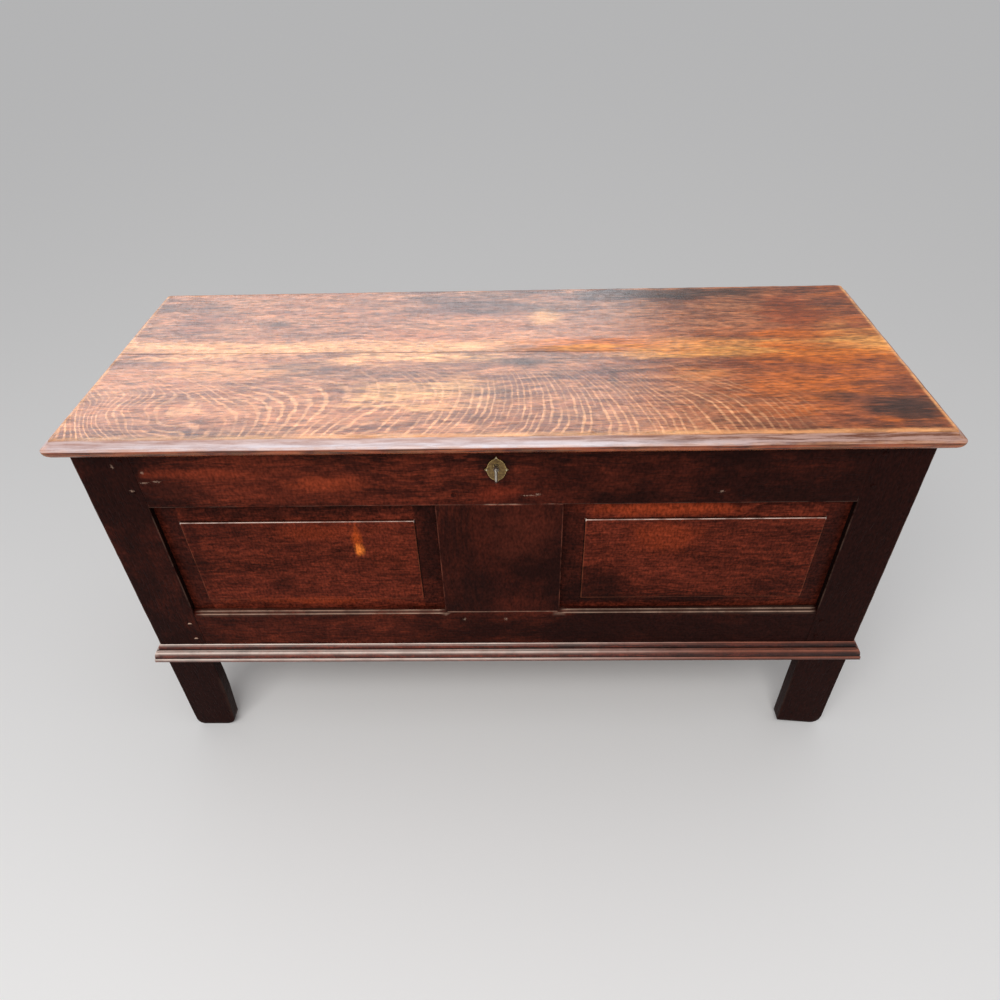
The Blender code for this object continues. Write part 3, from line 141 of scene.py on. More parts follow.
class CofferSizes(bpy.types.PropertyGroup):
    """Wear and fine work on the coffer's pieces."""

    arris: length("Frame arris", "Round rubbed on the edges of stiles, rails and boards", 0.0007)
    lid_arris: length("Lid arris", "Round rubbed on the top edges of the lid", 0.0022)
    joint_arris: length("Joint arris", "Round rubbed on the lid's edges at its joint", 0.0005)
    hollow: length("Hollows", "How far planed faces wander from flat", 0.0005)
    dent: length("Dents", "How deep the knocks on an arris go", 0.0010)
    cell: length("Cell", "Spacing of the points that wear can move", 0.011)
    lid_corner: length("Lid corner", "Round on the lid's corners, seen from above", 0.0045)
    nose_height: length("Lid nose height", "Lid's underside to its nose", 0.0125)
    under_round: length("Lid under round", "Depth of the round below the nose", 0.009)
    cove_width: length("Lid cove width", "Nose to the arris of the lid's top", 0.0105)
    cove_height: length("Lid cove height", "Top of the lid to the foot of the cove", 0.0075)
    nose_round: length("Lid nose round", "Round over the nose", 0.0022)
    field_side: length("Field margin, sides", "Opening to the raised field, at its sides", 0.032)
    field_top: length("Field margin, top", "Opening to the raised field, at its top", 0.032)
    field_bottom: length("Field margin, bottom", "Opening to the raised field, below it", 0.026)
    field_step: length("Field step", "Height of the step round the raised field", 0.0025)
    bevel_setback: length("Bevel setback", "Frame's face to the outer edge of a bevel", 0.010)
    rail_chamfer: length("Rail chamfer", "Chamfer on the bottom rail below a panel", 0.004)
    moulding_fillet: length("Moulding fillet", "Height of the moulding's lowest member", 0.008)
    moulding_ovolo: length("Moulding ovolo", "Height of the base moulding's round", 0.014)
    moulding_bead: length("Moulding bead", "How far its top member stands out", 0.004)
    moulding_quirk: length("Moulding quirk", "Width of the sinkings between its members", 0.0015)
    peg_proud: length("Peg rise", "How far a peg stands proud", 0.0009)
    iron_arris: length("Iron arris", "Round on the edges of forged iron", 0.0005)
    fine_arris: length("Fine arris", "Round on the edges of brass, key and spring", 0.00025)


class CofferColours(bpy.types.PropertyGroup):
    """Tones of the oak, metal and stage."""

    frame_dark: tint("Frame, dark", "Darker oak of stiles and rails", 50, 20, 14)
    frame_mid: tint("Frame, middle", "Middle oak of stiles and rails", 93, 37, 25)
    frame_light: tint("Frame, light", "Grain lines of stiles and rails", 146, 61, 38)
    frame_smoke: tint("Frame, smoke", "Old black polish on the front", 31, 11, 8)
    panel_dark: tint("Panel, dark", "Darker oak of the panels", 56, 20, 12)
    panel_mid: tint("Panel, middle", "Middle oak of the panels", 90, 35, 23)
    panel_light: tint("Panel, light", "Grain lines of the panels", 138, 57, 36)
    lid_dark: tint("Lid, dark", "Dark grain of the lid", 90, 46, 32)
    lid_mid: tint("Lid, middle", "Middle oak of the lid", 164, 98, 64)
    lid_light: tint("Lid, light", "Light grain of the lid", 226, 154, 106)
    lid_gold: tint("Lid, gold", "Rubbed golden oak of the lid", 238, 164, 106)
    lid_orange: tint("Lid, orange", "Warm orange oak beside the lid's joint", 206, 102, 16)
    lid_amber: tint("Lid, amber", "Golden oak at the right of the lid", 250, 158, 78)
    lid_red: tint("Lid, red", "Red-brown oak of the lid", 138, 58, 16)
    lid_fleck: tint("Lid, fleck", "Ray flecks of the lid", 226, 162, 114)
    lid_stain: tint("Lid, stain", "Old brown stains on the lid", 104, 56, 38)
    lid_black: tint("Lid, black", "Old black stains on the lid", 52, 32, 26)
    rubbed: tint("Rubbed arris", "Oak where an arris has lost its polish", 204, 168, 146)
    raw_dark: tint("Raw oak, dark", "Dark grain of unpolished oak", 70, 50, 36)
    raw_mid: tint("Raw oak, middle", "Middle tone of unpolished oak", 124, 94, 66)
    raw_light: tint("Raw oak, light", "Light grain of unpolished oak", 164, 130, 94)
    brass: tint("Brass", "Old brass of the escutcheon", 128, 102, 58)
    iron: tint("Iron", "Forged iron of hinges and lock", 52, 47, 44)
    steel: tint("Key", "Handled steel of the key", 176, 168, 156)
    floor_near: tint("Floor, near", "Floor in front of the coffer", 244, 244, 244)
    floor_middle: tint("Floor, middle", "Floor beside and behind the coffer", 228, 228, 228)
    floor_far: tint("Floor, far", "Floor far behind the coffer", 238, 238, 238)


def tones(colours, wood):
    """The dark, middle and light tones of one kind of oak."""
    return [getattr(colours, f"{wood}_{tone}")[:] for tone in ("dark", "mid", "light")]


# Shaping


def add(name, primitive, **options):
    """A new primitive with its place in its mesh."""
    bpy.ops.object.select_all(action="DESELECT")
    primitive(**options)
    bpy.ops.object.transform_apply(location=True, rotation=True, scale=True)
    made = bpy.context.object
    made.name = made.data.name = name
    return made


def block(name, low, high):
    """A cube between two corners."""
    low, high = Vector(low), Vector(high)
    cube = bpy.ops.mesh.primitive_cube_add
    return add(name, cube, size=1.0, location=(low + high) / 2, scale=high - low)


def arc(steps, turn=math.pi / 2):
    """Sine and cosine at even steps of a turn."""
    angles = [turn * step / steps for step in range(steps + 1)]
    return [(math.sin(angle), math.cos(angle)) for angle in angles]


def only(made):
    """Makes a piece the one selected object."""
    bpy.ops.object.select_all(action="DESELECT")
    made.select_set(True)
    bpy.context.view_layer.objects.active = made


def edit(made):
    only(made)
    bpy.ops.object.mode_set(mode="EDIT")


def done():
    bpy.ops.object.mode_set(mode="OBJECT")


def pick(kind, test):
    """Selects the vertices, edges or faces of the piece being edited that pass a test."""
    bpy.ops.mesh.select_mode(type=kind)
    bpy.ops.mesh.select_all(action="DESELECT")
    mesh = bpy.context.object.data
    shape = bmesh.from_edit_mesh(mesh)
    for item in {"VERT": shape.verts, "EDGE": shape.edges, "FACE": shape.faces}[kind]:
        if test(item):
            item.select_set(True)
    bmesh.update_edit_mesh(mesh)


def move_corner(start, end):
    """Moves the point of the piece being edited that is at start."""
    start, end = Vector(start), Vector(end)
    pick("VERT", lambda vert: (vert.co - start).length < SAME_PLACE)
    bpy.ops.transform.translate(value=end - start)


def loft(name, outlines):
    """A plane of the first outline's four corners, extruded through the other outlines."""
    made = add(name, bpy.ops.mesh.primitive_plane_add, size=2.0, location=(0, 0, 0))
    bpy.ops.object.mode_set(mode="EDIT")
    held = [Vector(corner) for corner in ((-1, -1, 0), (1, -1, 0), (1, 1, 0), (-1, 1, 0))]

    def is_end(face):
        return all(min((v.co - h).length for h in held) < SAME_PLACE for v in face.verts)

    for turn, outline in enumerate(outlines):
        outline = [Vector(corner) for corner in outline]
        if turn:
            lift = sum((b - a for a, b in zip(held, outline)), Vector()) / len(held) + CLEAR
            pick("FACE", is_end)
            bpy.ops.mesh.extrude_region_move(TRANSFORM_OT_translate={"value": lift})
            held = [corner + lift for corner in held]
        for start, end in zip(held, outline):
            move_corner(start, end)
        held = outline
    bpy.ops.mesh.select_all(action="SELECT")
    bpy.ops.mesh.normals_make_consistent(inside=False)
    done()
    return made


def soften(made, width, segments=3, test=None):
    """Rounds the sharp edges of a piece, or those of them that pass a test."""

    def sharp(edge):
        turned = edge.is_manifold and edge.calc_face_angle(0.0) > SHARP
        return turned and (test is None or test(edge))

    edit(made)
    pick("EDGE", sharp)
    bpy.ops.mesh.bevel(
        offset=width, offset_type="OFFSET", segments=segments, profile=0.5, affect="EDGES",
        clamp_overlap=True
    )
    done()


def slice_up(made, step, rims=None):
    """Cuts a piece across at even steps and close to its rims, for points that wear can move."""
    corners = [v.co for v in made.data.vertices]
    edit(made)
    for axis in range(3):
        normal = Vector(float(axis == other) for other in range(3))
        low, high = (limit(co[axis] for co in corners) for limit in (min, max))
        count = max(1, round((high - low) / step))
        cuts = [low + (high - low) * turn / count for turn in range(1, count)]
        for near, far in ((low, high), *((rims or {}).get(axis, ()))):
            cuts += [near - RIM, near + RIM, far - RIM, far + RIM]
        for place in cuts:
            if low + RIM / 2 < place < high - RIM / 2:
                bpy.ops.mesh.select_all(action="SELECT")
                bpy.ops.mesh.bisect(plane_co=normal * place, plane_no=normal, threshold=1e-5)
    bpy.ops.mesh.select_all(action="SELECT")
    bpy.ops.mesh.remove_doubles(threshold=2 * SAME_PLACE)
    done()


def carve(made, cutter):
    """Cuts one piece away from another."""
    only(made)
    cut = made.modifiers.new("cut", "BOOLEAN")
    cut.operation, cut.solver, cut.object = "DIFFERENCE", "EXACT", cutter
    bpy.ops.object.modifier_apply(modifier=cut.name)
    bpy.data.objects.remove(cutter)


def edge_turns(made):
    """For each point, how sharply its sharpest outward and inward edges turn, 0 to 1."""
    shape = bmesh.new()
    shape.from_mesh(made.data)
    outward, inward = [], []
    for vert in shape.verts:
        turns = [edge.calc_face_angle_signed(0.0) for edge in vert.link_edges if edge.is_manifold]
        for sharpest, shares in (
            (max(turns, default=0.0), outward), (-min(turns, default=0.0), inward)
        ):
            shares.append(min(1.0, max(0.0, sharpest - LEAST_TURN) / (FULL_TURN - LEAST_TURN)))
    shape.free()
    return outward, inward


def note_wear(made, outward, inward):
    """Keeps where a piece is rubbed and where its inner corners take dirt and painted shade, for
    its finish.
    """
    for name, turns in (("rub", outward), ("grime", inward)):
        made.data.attributes.new(name, "FLOAT", "POINT").data.foreach_set("value", turns)


def cloud(name, size, depth):
    texture = bpy.data.textures.get(name) or bpy.data.textures.new(name, "CLOUDS")
    texture.noise_scale, texture.noise_depth = size, depth
    return texture


# Chipped lengths of the arris above the muntin, from x to x
CHIPPED = ((-0.0166, 0.0273), (0.0670, 0.0875))


def exposed(place):
    """How far an arris of the front or back frame can be rubbed: little where pieces butt."""
    low, high = (abs(place.z - z) < JOINT_REACH for z in (OPENING_LOW, OPENING_HIGH))
    if place.z < RAIL_LOW:
        return 0.15
    if high:
        return 1.0 if any(start < place.x < end for start, end in CHIPPED) else 0.12
    if abs(place.x) < MUNTIN_HALF - JOINT_REACH and low:
        return 0.4
    if abs(abs(place.x) - MUNTIN_HALF) < 2 * JOINT_REACH:
        return 0.1 if low else 0.6
    if abs(abs(place.x) - OPENING_HALF) < JOINT_REACH:
        return 0.4 if OPENING_LOW + JOINT_REACH < place.z < OPENING_HIGH - JOINT_REACH else 0.0
    return 1.0


def weather(made, hollow, dent, rubbing=None):
    """Leaves the faces a little uneven, knocks the arrises and notes where they are rubbed."""
    outward, inward = edge_turns(made)
    if rubbing:
        outward = [turn * rubbing(vert.co) for turn, vert in zip(outward, made.data.vertices)]
    group = made.vertex_groups.new(name="arris")
    for index, turn in enumerate(outward):
        if turn > 0:
            group.add([index], turn, "REPLACE")
    only(made)
    pushes = (
        ("hollows", cloud("hollows", 0.09, 1), hollow, 0.5, ""),
        ("dents", cloud("dents", 0.014, 2), dent, 0.62, group.name),
    )
    for name, texture, strength, middle, where in pushes:
        push = made.modifiers.new(name, "DISPLACE")
        push.texture, push.texture_coords = texture, "LOCAL"
        push.strength, push.mid_level, push.vertex_group = strength, middle, where
        bpy.ops.object.modifier_apply(modifier=push.name)
    made.vertex_groups.clear()
    note_wear(made, outward, inward)


def wear(made, sizes, rubbing=None):
    """Rounds, knocks and hollows a piece of wood as use does."""
    soften(made, sizes.arris)
    slice_up(made, sizes.cell)
    weather(made, sizes.hollow, sizes.dent, rubbing)
    return made


def frame_copy(name, node, width, step):
    """A copy of a node's own shape with softened edges, noting where they are rubbed or dirty."""
    made = bpy.data.objects.new(name, frame["nodes"][node].data.copy())
    bpy.context.scene.collection.objects.link(made)
    edit(made)
    bpy.ops.mesh.select_all(action="SELECT")
    bpy.ops.mesh.remove_doubles(threshold=SAME_PLACE)
    bpy.ops.mesh.dissolve_limited(angle_limit=math.radians(1))
    done()
    soften(made, width, 2)
    slice_up(made, step)
    note_wear(made, *edge_turns(made))
    return made


def between(node, axis, start, end):
    """A node's box with one of its lengths set to where its shoulders meet its neighbours."""
    low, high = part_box(node)
    low[axis], high[axis] = start, end
    return low, high


def fit(made, material, body, slot, *nodes):
    """Gives a piece its finish, its body and the nodes that it stands for. The slot is not used.
    """
    made.data.materials.clear()
    made.data.materials.append(material)
    only(made)
    bpy.ops.object.shade_smooth_by_angle(angle=SMOOTH)
    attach(made, body)
    if nodes:
        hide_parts(*nodes)


# Finishes


class Value:
    """A number that a finish works out at each point, which + - * / ** and abs join to others."""

    def __init__(self, finish, socket):
        self.finish, self.socket = finish, socket

    def __add__(self, other):
        return self.finish.math("ADD", self, other)

    def __sub__(self, other):
        return self.finish.math("SUBTRACT", self, other)

    def __rsub__(self, other):
        return self.finish.math("SUBTRACT", other, self)

    def __mul__(self, other):
        return self.finish.math("MULTIPLY", self, other)

    def __truediv__(self, other):
        return self.finish.math("DIVIDE", self, other)

    def __rtruediv__(self, other):
        return self.finish.math("DIVIDE", other, self)

    def __pow__(self, other):
        return self.finish.math("POWER", self, other)

    def __abs__(self):
        return self.finish.math("ABSOLUTE", self)

    def least(self, other):
        return self.finish.math("MINIMUM", self, other)

    def most(self, other):
        return self.finish.math("MAXIMUM", self, other)

    def fade(self, start, end):
        """0 where this is start and 1 where it is end, which may be the lower of the two."""
        node = self.finish.tree.nodes.new("ShaderNodeMapRange")
        node.interpolation_type = "SMOOTHSTEP"
        self.finish.put(node.inputs["Value"], self)
        ends = {"From Min": min(start, end), "From Max": max(start, end),
                "To Min": float(start > end), "To Max": float(start < end)}
        for name, value in ends.items():
            node.inputs[name].default_value = value
        return Value(self.finish, node.outputs[0])


class Finish:
    """A material being mixed, with short words for its nodes."""

    def __init__(self, name):
        self.material = bpy.data.materials.new(name)
        self.material.use_nodes = True
        self.tree = self.material.node_tree
        self.shader = self.tree.nodes["Principled BSDF"]
        self.place = self.tree.nodes.new("ShaderNodeTexCoord").outputs["Object"]
        split = self.tree.nodes.new("ShaderNodeSeparateXYZ")
        self.tree.links.new(self.place, split.inputs[0])
        self.x, self.y, self.z = (Value(self, socket) for socket in split.outputs)

    def put(self, socket, value):
        """Links or sets one socket."""
        if isinstance(value, Value):
            value = value.socket
        if isinstance(value, bpy.types.NodeSocket):
            self.tree.links.new(value, socket)
        else:
            socket.default_value = value

    def math(self, operation, *values):
        node = self.tree.nodes.new("ShaderNodeMath")
        node.operation = operation
        for socket, value in zip(node.inputs, values):
            self.put(socket, value)
        return Value(self, node.outputs[0])

    def vector(self, operation, *values):
        node = self.tree.nodes.new("ShaderNodeVectorMath")
        node.operation = operation
        for socket, value in zip(node.inputs, values):
            self.put(socket, value)
        return node.outputs["Value" if operation == "LENGTH" else 0]

    def join(self, x, y, z):
        node = self.tree.nodes.new("ShaderNodeCombineXYZ")
        for socket, value in zip(node.inputs, (x, y, z)):
            self.put(socket, value)
        return node.outputs[0]

    def noise(self, stretch, detail=2.0, rough=0.5, place=None, shift=(0.0, 0.0, 0.0)):
        """Cloudy values about a half, with so many clouds to the metre each way."""
        node = self.tree.nodes.new("ShaderNodeTexNoise")
        node.inputs["Scale"].default_value = 1.0
        node.inputs["Detail"].default_value = detail
        node.inputs["Roughness"].default_value = rough
        scaled = self.vector("MULTIPLY", self.place if place is None else place, stretch)
        self.put(node.inputs["Vector"], self.vector("ADD", scaled, shift))
        return Value(self, node.outputs[0])

    def ragged(self, stretch, reach, detail=4.0, rough=0.62):
        """A cloud about 0, to make edges ragged and lines wander."""
        return (self.noise(stretch, detail, rough) - 0.5) * reach

    def attribute(self, name):
        node = self.tree.nodes.new("ShaderNodeAttribute")
        node.attribute_name = name
        return Value(self, node.outputs["Fac"])

    def mix(self, share, first, second):
        """One tone turned to another by a share."""
        node = self.tree.nodes.new("ShaderNodeMix")
        node.data_type = "RGBA"
        sockets = node.inputs[0], node.inputs[6], node.inputs[7]
        for socket, value in zip(sockets, (share, first, second)):
            self.put(socket, (*value, 1.0) if isinstance(value, tuple) else value)
        return node.outputs[2]

    def scaled(self, tone, factor):
        """A tone made lighter or darker."""
        return self.vector("MULTIPLY", tone, self.join(factor, factor, factor))

    def spot(self, centre, reach, wander=0.0):
        """1 inside an oval, 0 outside, with an edge that a cloud can make ragged."""
        away = self.vector("DIVIDE", self.vector("SUBTRACT", self.place, centre), reach)
        return (Value(self, self.vector("LENGTH", away)) + wander).fade(1.2, 0.3)

    def bump(self, height, depth):
        node = self.tree.nodes.new("ShaderNodeBump")
        node.inputs["Strength"].default_value = 1.0
        node.inputs["Distance"].default_value = depth
        self.put(node.inputs["Height"], height)
        self.put(self.shader.inputs["Normal"], node.outputs[0])

    def set(self, **values):
        """Sets the shader's inputs by their names."""
        for name, value in values.items():
            label = name.replace("_", " ").title().replace("Ior", "IOR")
            self.put(self.shader.inputs[label], value)


def along(axis, lengthways, across):
    """A stretch with one value along the grain and another across it."""
    return tuple(lengthways if axis == other else across for other in range(3))


class Oak(Finish):
    """Oak with its grain along one axis: slow tones, curling figure, streaks, mottle and pores."""

    def __init__(self, name, axis, fine=230.0, drawn_out=7.0):
        super().__init__(name)
        bent = self.curl(axis, 5.0, 0.03)
        self.broad = self.noise(along(axis, 2.6, 18.0), 3.0, 0.55, bent)
        curled = self.curl(axis, 7.0, 0.05)
        self.figure = self.noise(along(axis, 8.0, fine / 3), 2.0, 0.55, curled)
        self.streak = self.noise(along(axis, fine / drawn_out, fine), 4.0, 0.66, bent)
        self.mottle = self.noise(along(axis, 45.0, 60.0), 5.0, 0.7)
        self.pore = self.noise(along(axis, fine / 5, fine * 1.4), 2.0, 0.6, bent)
        self.fine = self.noise((140.0, 140.0, 140.0), 2.0, 0.6)

    def curl(self, axis, scale, reach):
        """The place, moved across the grain so that the grain wanders."""
        node = self.tree.nodes.new("ShaderNodeTexNoise")
        node.inputs["Scale"].default_value = scale
        node.inputs["Detail"].default_value = 1.0
        self.put(node.inputs["Vector"], self.place)
        drift = self.vector("SUBTRACT", node.outputs["Color"], (0.5, 0.5, 0.5))
        drift = self.vector("MULTIPLY", drift, along(axis, 0.0, reach))
        return self.vector("ADD", self.place, drift)

    def timber(self, dark, mid, light, figure=0.3, streaks=0.4, pores=0.45, mottle=0.5):
        """Three tones laid over each other by the grain."""
        tone = self.mix(self.broad.fade(0.34, 0.62), dark, mid)
        layers = (
            (self.figure.fade(0.47, 0.60), figure, light),
            (self.streak.fade(0.47, 0.58), streaks, light),
            (self.mottle.fade(0.48, 0.60), mottle, dark),
            (self.pore.fade(0.53, 0.60), pores, tuple(0.35 * c for c in dark)),
        )
        for where, share, paint in layers:
            tone = self.mix(where * share, tone, paint)
        return tone

    def speckled(self, tone, reach, stretch=(300.0, 300.0, 170.0)):
        """Fine light and dark points all over."""
        return self.scaled(tone, self.ragged(stretch, reach, 1.0, 0.5) + 1.0)

    def marked(self, tone, marks, wander, paint=None, deep=0.05):
        """Marks on the front, in one paint or each with its own as a last value.

        A mark is x, z, half length, half height, strength; deep is its reach into the wood.
        """
        for x, z, wide, high, share, *own in marks:
            mark = self.spot((x, FRONT, z), (wide, deep, high), wander)
            tone = self.mix(mark * share, tone, paint or srgb(*own[0]))
        return tone

    def worn(self, tone, rubbed, share, even=0.0, grime=0.35):
        """Pale where an arris is rubbed, in patches or evenly, and dark in the inner corners, as
        dirt and painted shade.
        """
        patches = self.noise((34.0, 34.0, 34.0), 3.0, 0.6).fade(0.34, 0.62) * (1.0 - even) + even
        tone = self.mix(self.attribute("rub") * patches * share, tone, rubbed)
        # Inner corners darkened towards near black: dirt and painted shade in the creases.
        return self.mix(self.attribute("grime") * grime, tone, srgb(14, 8, 7))

    def bared(self, tone, colours, where):
        """Unpolished oak where a mask is 1."""
        return self.mix(where, tone, self.timber(*tones(colours, "raw")))

    def surface(self, depth=0.0004):
        """Sinks the pores and raises the streaks."""
        grain = self.streak * 0.9 - self.pore.fade(0.54, 0.70)
        self.bump(grain + self.fine * 0.35, depth)

    def polish(self, tone, low, high, gloss, bare=0.0):
        """A polish between two roughnesses, worn to dull wood where bare is 1."""
        shine = self.fine * (high - low) + low + bare * 0.45
        self.set(base_color=tone, specular_ior_level=gloss, roughness=shine)
        return self.material


FACE_EDGE = 0.0025, 0.0008  # how far outside a face raw oak starts, and is all there is


def inner_face(oak, axis, face):
    """1 inside a face that is so far from the middle along an axis, and 0 outside it."""
    start, end = FACE_EDGE
    return abs((oak.x, oak.y, oak.z)[axis]).fade(face + start, face + end)


def inside_mask(oak):
    """1 inside the carcass, 0 on its outer faces."""
    start, end = FACE_EDGE
    deep = oak.y.fade(INNER_FRONT - start, INNER_FRONT - end)
    deep = deep * oak.y.fade(INNER_BACK + start, INNER_BACK + end)
    return deep * inner_face(oak, X, SIDE_INNER) * oak.z.fade(RAIL_LOW - 0.002, RAIL_LOW)


def reveal_shade_mask(oak):
    """1 on the inner faces of the front frame beside and above its panels, where shade is painted.
    """
    deep = oak.y.fade(FRONT + 0.0010, FRONT + 0.0030)
    deep = deep * oak.y.fade(INNER_FRONT - 0.0010, INNER_FRONT - 0.0030)
    within = abs(oak.x).fade(HALF_WIDTH - 0.004, HALF_WIDTH - 0.008)
    return deep * within * oak.z.fade(OPENING_LOW + 0.0010, OPENING_LOW + 0.0040)


# Marks on the front: x, z, half length, half height, strength, and a tone where they differ
TOP_RAIL_MARKS = (
    (-0.310, 0.562, 0.200, 0.050, 0.35, (104, 42, 27)),
    (-0.235, 0.557, 0.060, 0.014, 0.50, (156, 64, 36)),
    (-0.400, 0.577, 0.090, 0.010, 0.45, (136, 54, 32)),
    (-0.006, 0.540, 0.034, 0.018, 0.50, (124, 46, 28)),
    (-0.002, 0.5795, 0.026, 0.028, 0.80, (22, 12, 10)),
    (-0.430, 0.548, 0.045, 0.026, 0.50, (30, 15, 12)),
)
MUNTIN_MARKS = (
    (0.030, 0.460, 0.060, 0.060, 0.35, (88, 38, 26)),
    (-0.040, 0.350, 0.060, 0.060, 0.30, (32, 14, 12)),
)
SCRATCHES = [(*place, 0.45) for place in (
    (-0.5116, 0.5896, 0.0018, 0.0030),
    (-0.4749, 0.5791, 0.0022, 0.0022),
    (-0.4989, 0.5485, 0.0030, 0.0018),
    (-0.4780, 0.5622, 0.0060, 0.0012),
    (-0.4600, 0.5640, 0.0050, 0.0016),
    (0.0410, 0.5340, 0.0100, 0.0011),
    (0.0530, 0.5362, 0.0036, 0.0018),
    (0.2999, 0.5389, 0.0030, 0.0020),
    (-0.0591, 0.2841, 0.0024, 0.0024),
    (0.0054, 0.2836, 0.0024, 0.0030),
)]
# Orange glows on the panels: painted light on their bevels and fields.
PANEL_PAINTED_GLOWS = (
    (0.235, 0.503, 0.13, 0.016, 0.70),
    (0.235, 0.452, 0.06, 0.035, 0.40),
    (-0.16, 0.430, 0.05, 0.050, 0.05),
    (-0.29, 0.322, 0.13, 0.012, 0.50),
    (-0.26, 0.465, 0.07, 0.020, 0.30),
)
# Dark patches in the smoke tone: painted shade on the bevels beside the stiles and the muntin and
# below the top rail, and dark stains on the fields.
PANEL_STAINS_AND_SHADE = (
    (0.145, 0.350, 0.060, 0.050, 0.80),
    (-0.10, 0.430, 0.022, 0.130, 0.75),
    (-0.40, 0.470, 0.090, 0.040, 0.35),
    (0.470, 0.420, 0.020, 0.120, 0.50),
    (0.100, 0.430, 0.020, 0.120, 0.40),
    (-0.47, 0.430, 0.020, 0.120, 0.35),
    (0.250, 0.320, 0.200, 0.012, 0.80),
    (-0.33, 0.360, 0.025, 0.025, 0.60),
    (0.400, 0.350, 0.050, 0.030, 0.40),
    (-0.29, 0.504, 0.240, 0.016, 0.55),
    (0.260, 0.485, 0.100, 0.010, 0.30),
    (-0.445, 0.43, 0.012, 0.100, 0.50),
)
# A painted glint on the left panel: an orange smear and a bright blob of reflected warm light.
ORANGE_GLINT = (
    (-0.206, 0.452, 0.008, 0.036, 0.70, (176, 72, 26)),
    (-0.205, 0.432, 0.008, 0.015, 0.90, (232, 124, 50)),
)


def frame_oak(name, axis, colours, smoked=0.0, rubbed=0.35, even=0.0, gloss=0.03, grime=0.35,
              rub_and_highlight_tones=None, low=0.0, marks=(), grain=1.0, ends=1.0, inner=None):
    """Dark polished oak of stiles, rails and mouldings, darker to the right, at the ends and
    towards the feet.

    smoked adds smoke all over, and low lower down. ends and grain are shares of the smoke at the
    ends and of the grain. inner is the axis and distance of a panel's unpolished face.
    """
    oak = Oak(name, axis)
    tone = oak.timber(*tones(colours, "frame"), figure=0.25 * grain, streaks=0.32 * grain,
                      pores=0.36 * grain, mottle=0.36 * grain)
    smoke = oak.noise((6.0, 6.0, 8.0), 5.0, 0.66).fade(0.34, 0.70) * 0.6 + smoked
    smoke = smoke + oak.x.fade(-0.08, 0.26) * (0.55 * ends)
    smoke = smoke + abs(oak.x).fade(0.37, 0.50) * (0.35 * ends)
    smoke = smoke + oak.z.fade(RAIL_LOW, RAIL_LOW - 0.06) * 0.5
    smoke = smoke + oak.z.fade(OPENING_HIGH, OPENING_LOW) * low
    tone = oak.mix(smoke.least(0.96), tone, colours.frame_smoke[:])
    dry = oak.y.fade(BACK - 0.008, BACK - 0.006) * 0.55
    tone = oak.mix(dry, tone, oak.timber(srgb(38, 24, 17), srgb(74, 48, 34), srgb(104, 72, 52)))
    tone = oak.marked(tone, marks, oak.ragged((34.0, 34.0, 60.0), 1.6))
    tone = oak.speckled(tone, 1.5)
    torn = oak.ragged((500.0, 500.0, 700.0), 5.0)
    tone = oak.marked(tone, SCRATCHES, torn, srgb(180, 150, 130), 0.004)
    rub_and_highlight_tones = rub_and_highlight_tones or (colours.rubbed[:], colours.rubbed[:])
    # Rubbed arrises in two tones from left to right; where the left tone is paler, as on the
    # moulding, it is a painted highlight.
    tone = oak.worn(tone, oak.mix(oak.x.fade(-0.1, 0.4), *rub_and_highlight_tones), rubbed, even, grime)
    # Painted shade, near black, on the frame's inner faces beside and above the panels.
    tone = oak.mix(reveal_shade_mask(oak) * 0.85, tone, srgb(16, 10, 9))
    tone = oak.bared(tone, colours, inner_face(oak, *inner) if inner else inside_mask(oak))
    oak.surface()
    return oak.polish(tone, 0.30, 0.5, gloss)


def panel_oak(name, sizes, colours):
    """Redder oak of the fielded panels, with a painted orange glint on the left one."""
    oak = Oak(name, X)
    tone = oak.timber(*tones(colours, "panel"), figure=0.2, streaks=0.32, pores=0.36, mottle=0.5)
    ragged = oak.ragged((40.0, 40.0, 40.0), 1.6)
    tone = oak.marked(tone, PANEL_PAINTED_GLOWS, ragged, srgb(150, 58, 28))
    tone = oak.marked(tone, PANEL_STAINS_AND_SHADE, ragged, colours.frame_smoke[:])
    # Painted shade: the side bevels between the opening and the field darkened in the smoke tone.
    across, soft = abs(oak.x), 0.002
    outer, inner = OPENING_HALF - sizes.field_side, MUNTIN_HALF + sizes.field_side
    margin = across.fade(outer - soft, outer + soft).most(across.fade(inner + soft, inner - soft))
    tone = oak.mix(margin * 0.55, tone, colours.frame_smoke[:])
    tone = oak.marked(tone, ORANGE_GLINT, oak.ragged((90.0, 90.0, 25.0), 1.6))
    tone = oak.speckled(tone, 2.0)
    # Near white where most rubbed, on the field's top arris: wear and a painted highlight; warm
    # wear lines on its other arrises.
    rub_and_highlight_tone = oak.attribute("rub").fade(0.5, 0.8)
    rub_and_highlight_tone = oak.mix(rub_and_highlight_tone, srgb(184, 104, 72), srgb(226, 208, 196))
    # The strong darkening of inner corners puts a dark line of painted shade and dirt at the foot
    # of the field's step.
    tone = oak.worn(tone, rub_and_highlight_tone, 1.0, even=0.35, grime=0.9)
    tone = oak.bared(tone, colours, oak.y.fade(INNER_FRONT - 0.0085, INNER_FRONT - 0.0070))
    oak.surface()
    return oak.polish(tone, 0.30, 0.5, gloss=0.03)


def plain_oak(name, axis, colours):
    """Unpolished oak of floor boards and battens."""
    oak = Oak(name, axis)
    dirt = oak.noise((7.0, 7.0, 7.0), 4.0, 0.6).fade(0.46, 0.7) * 0.5
    tone = oak.mix(dirt, oak.timber(*tones(colours, "raw")), srgb(58, 42, 32))
    tone = oak.worn(tone, srgb(150, 118, 86), 0.4)
    oak.surface(0.0006)
    return oak.polish(tone, 0.55, 0.85, gloss=0.2)


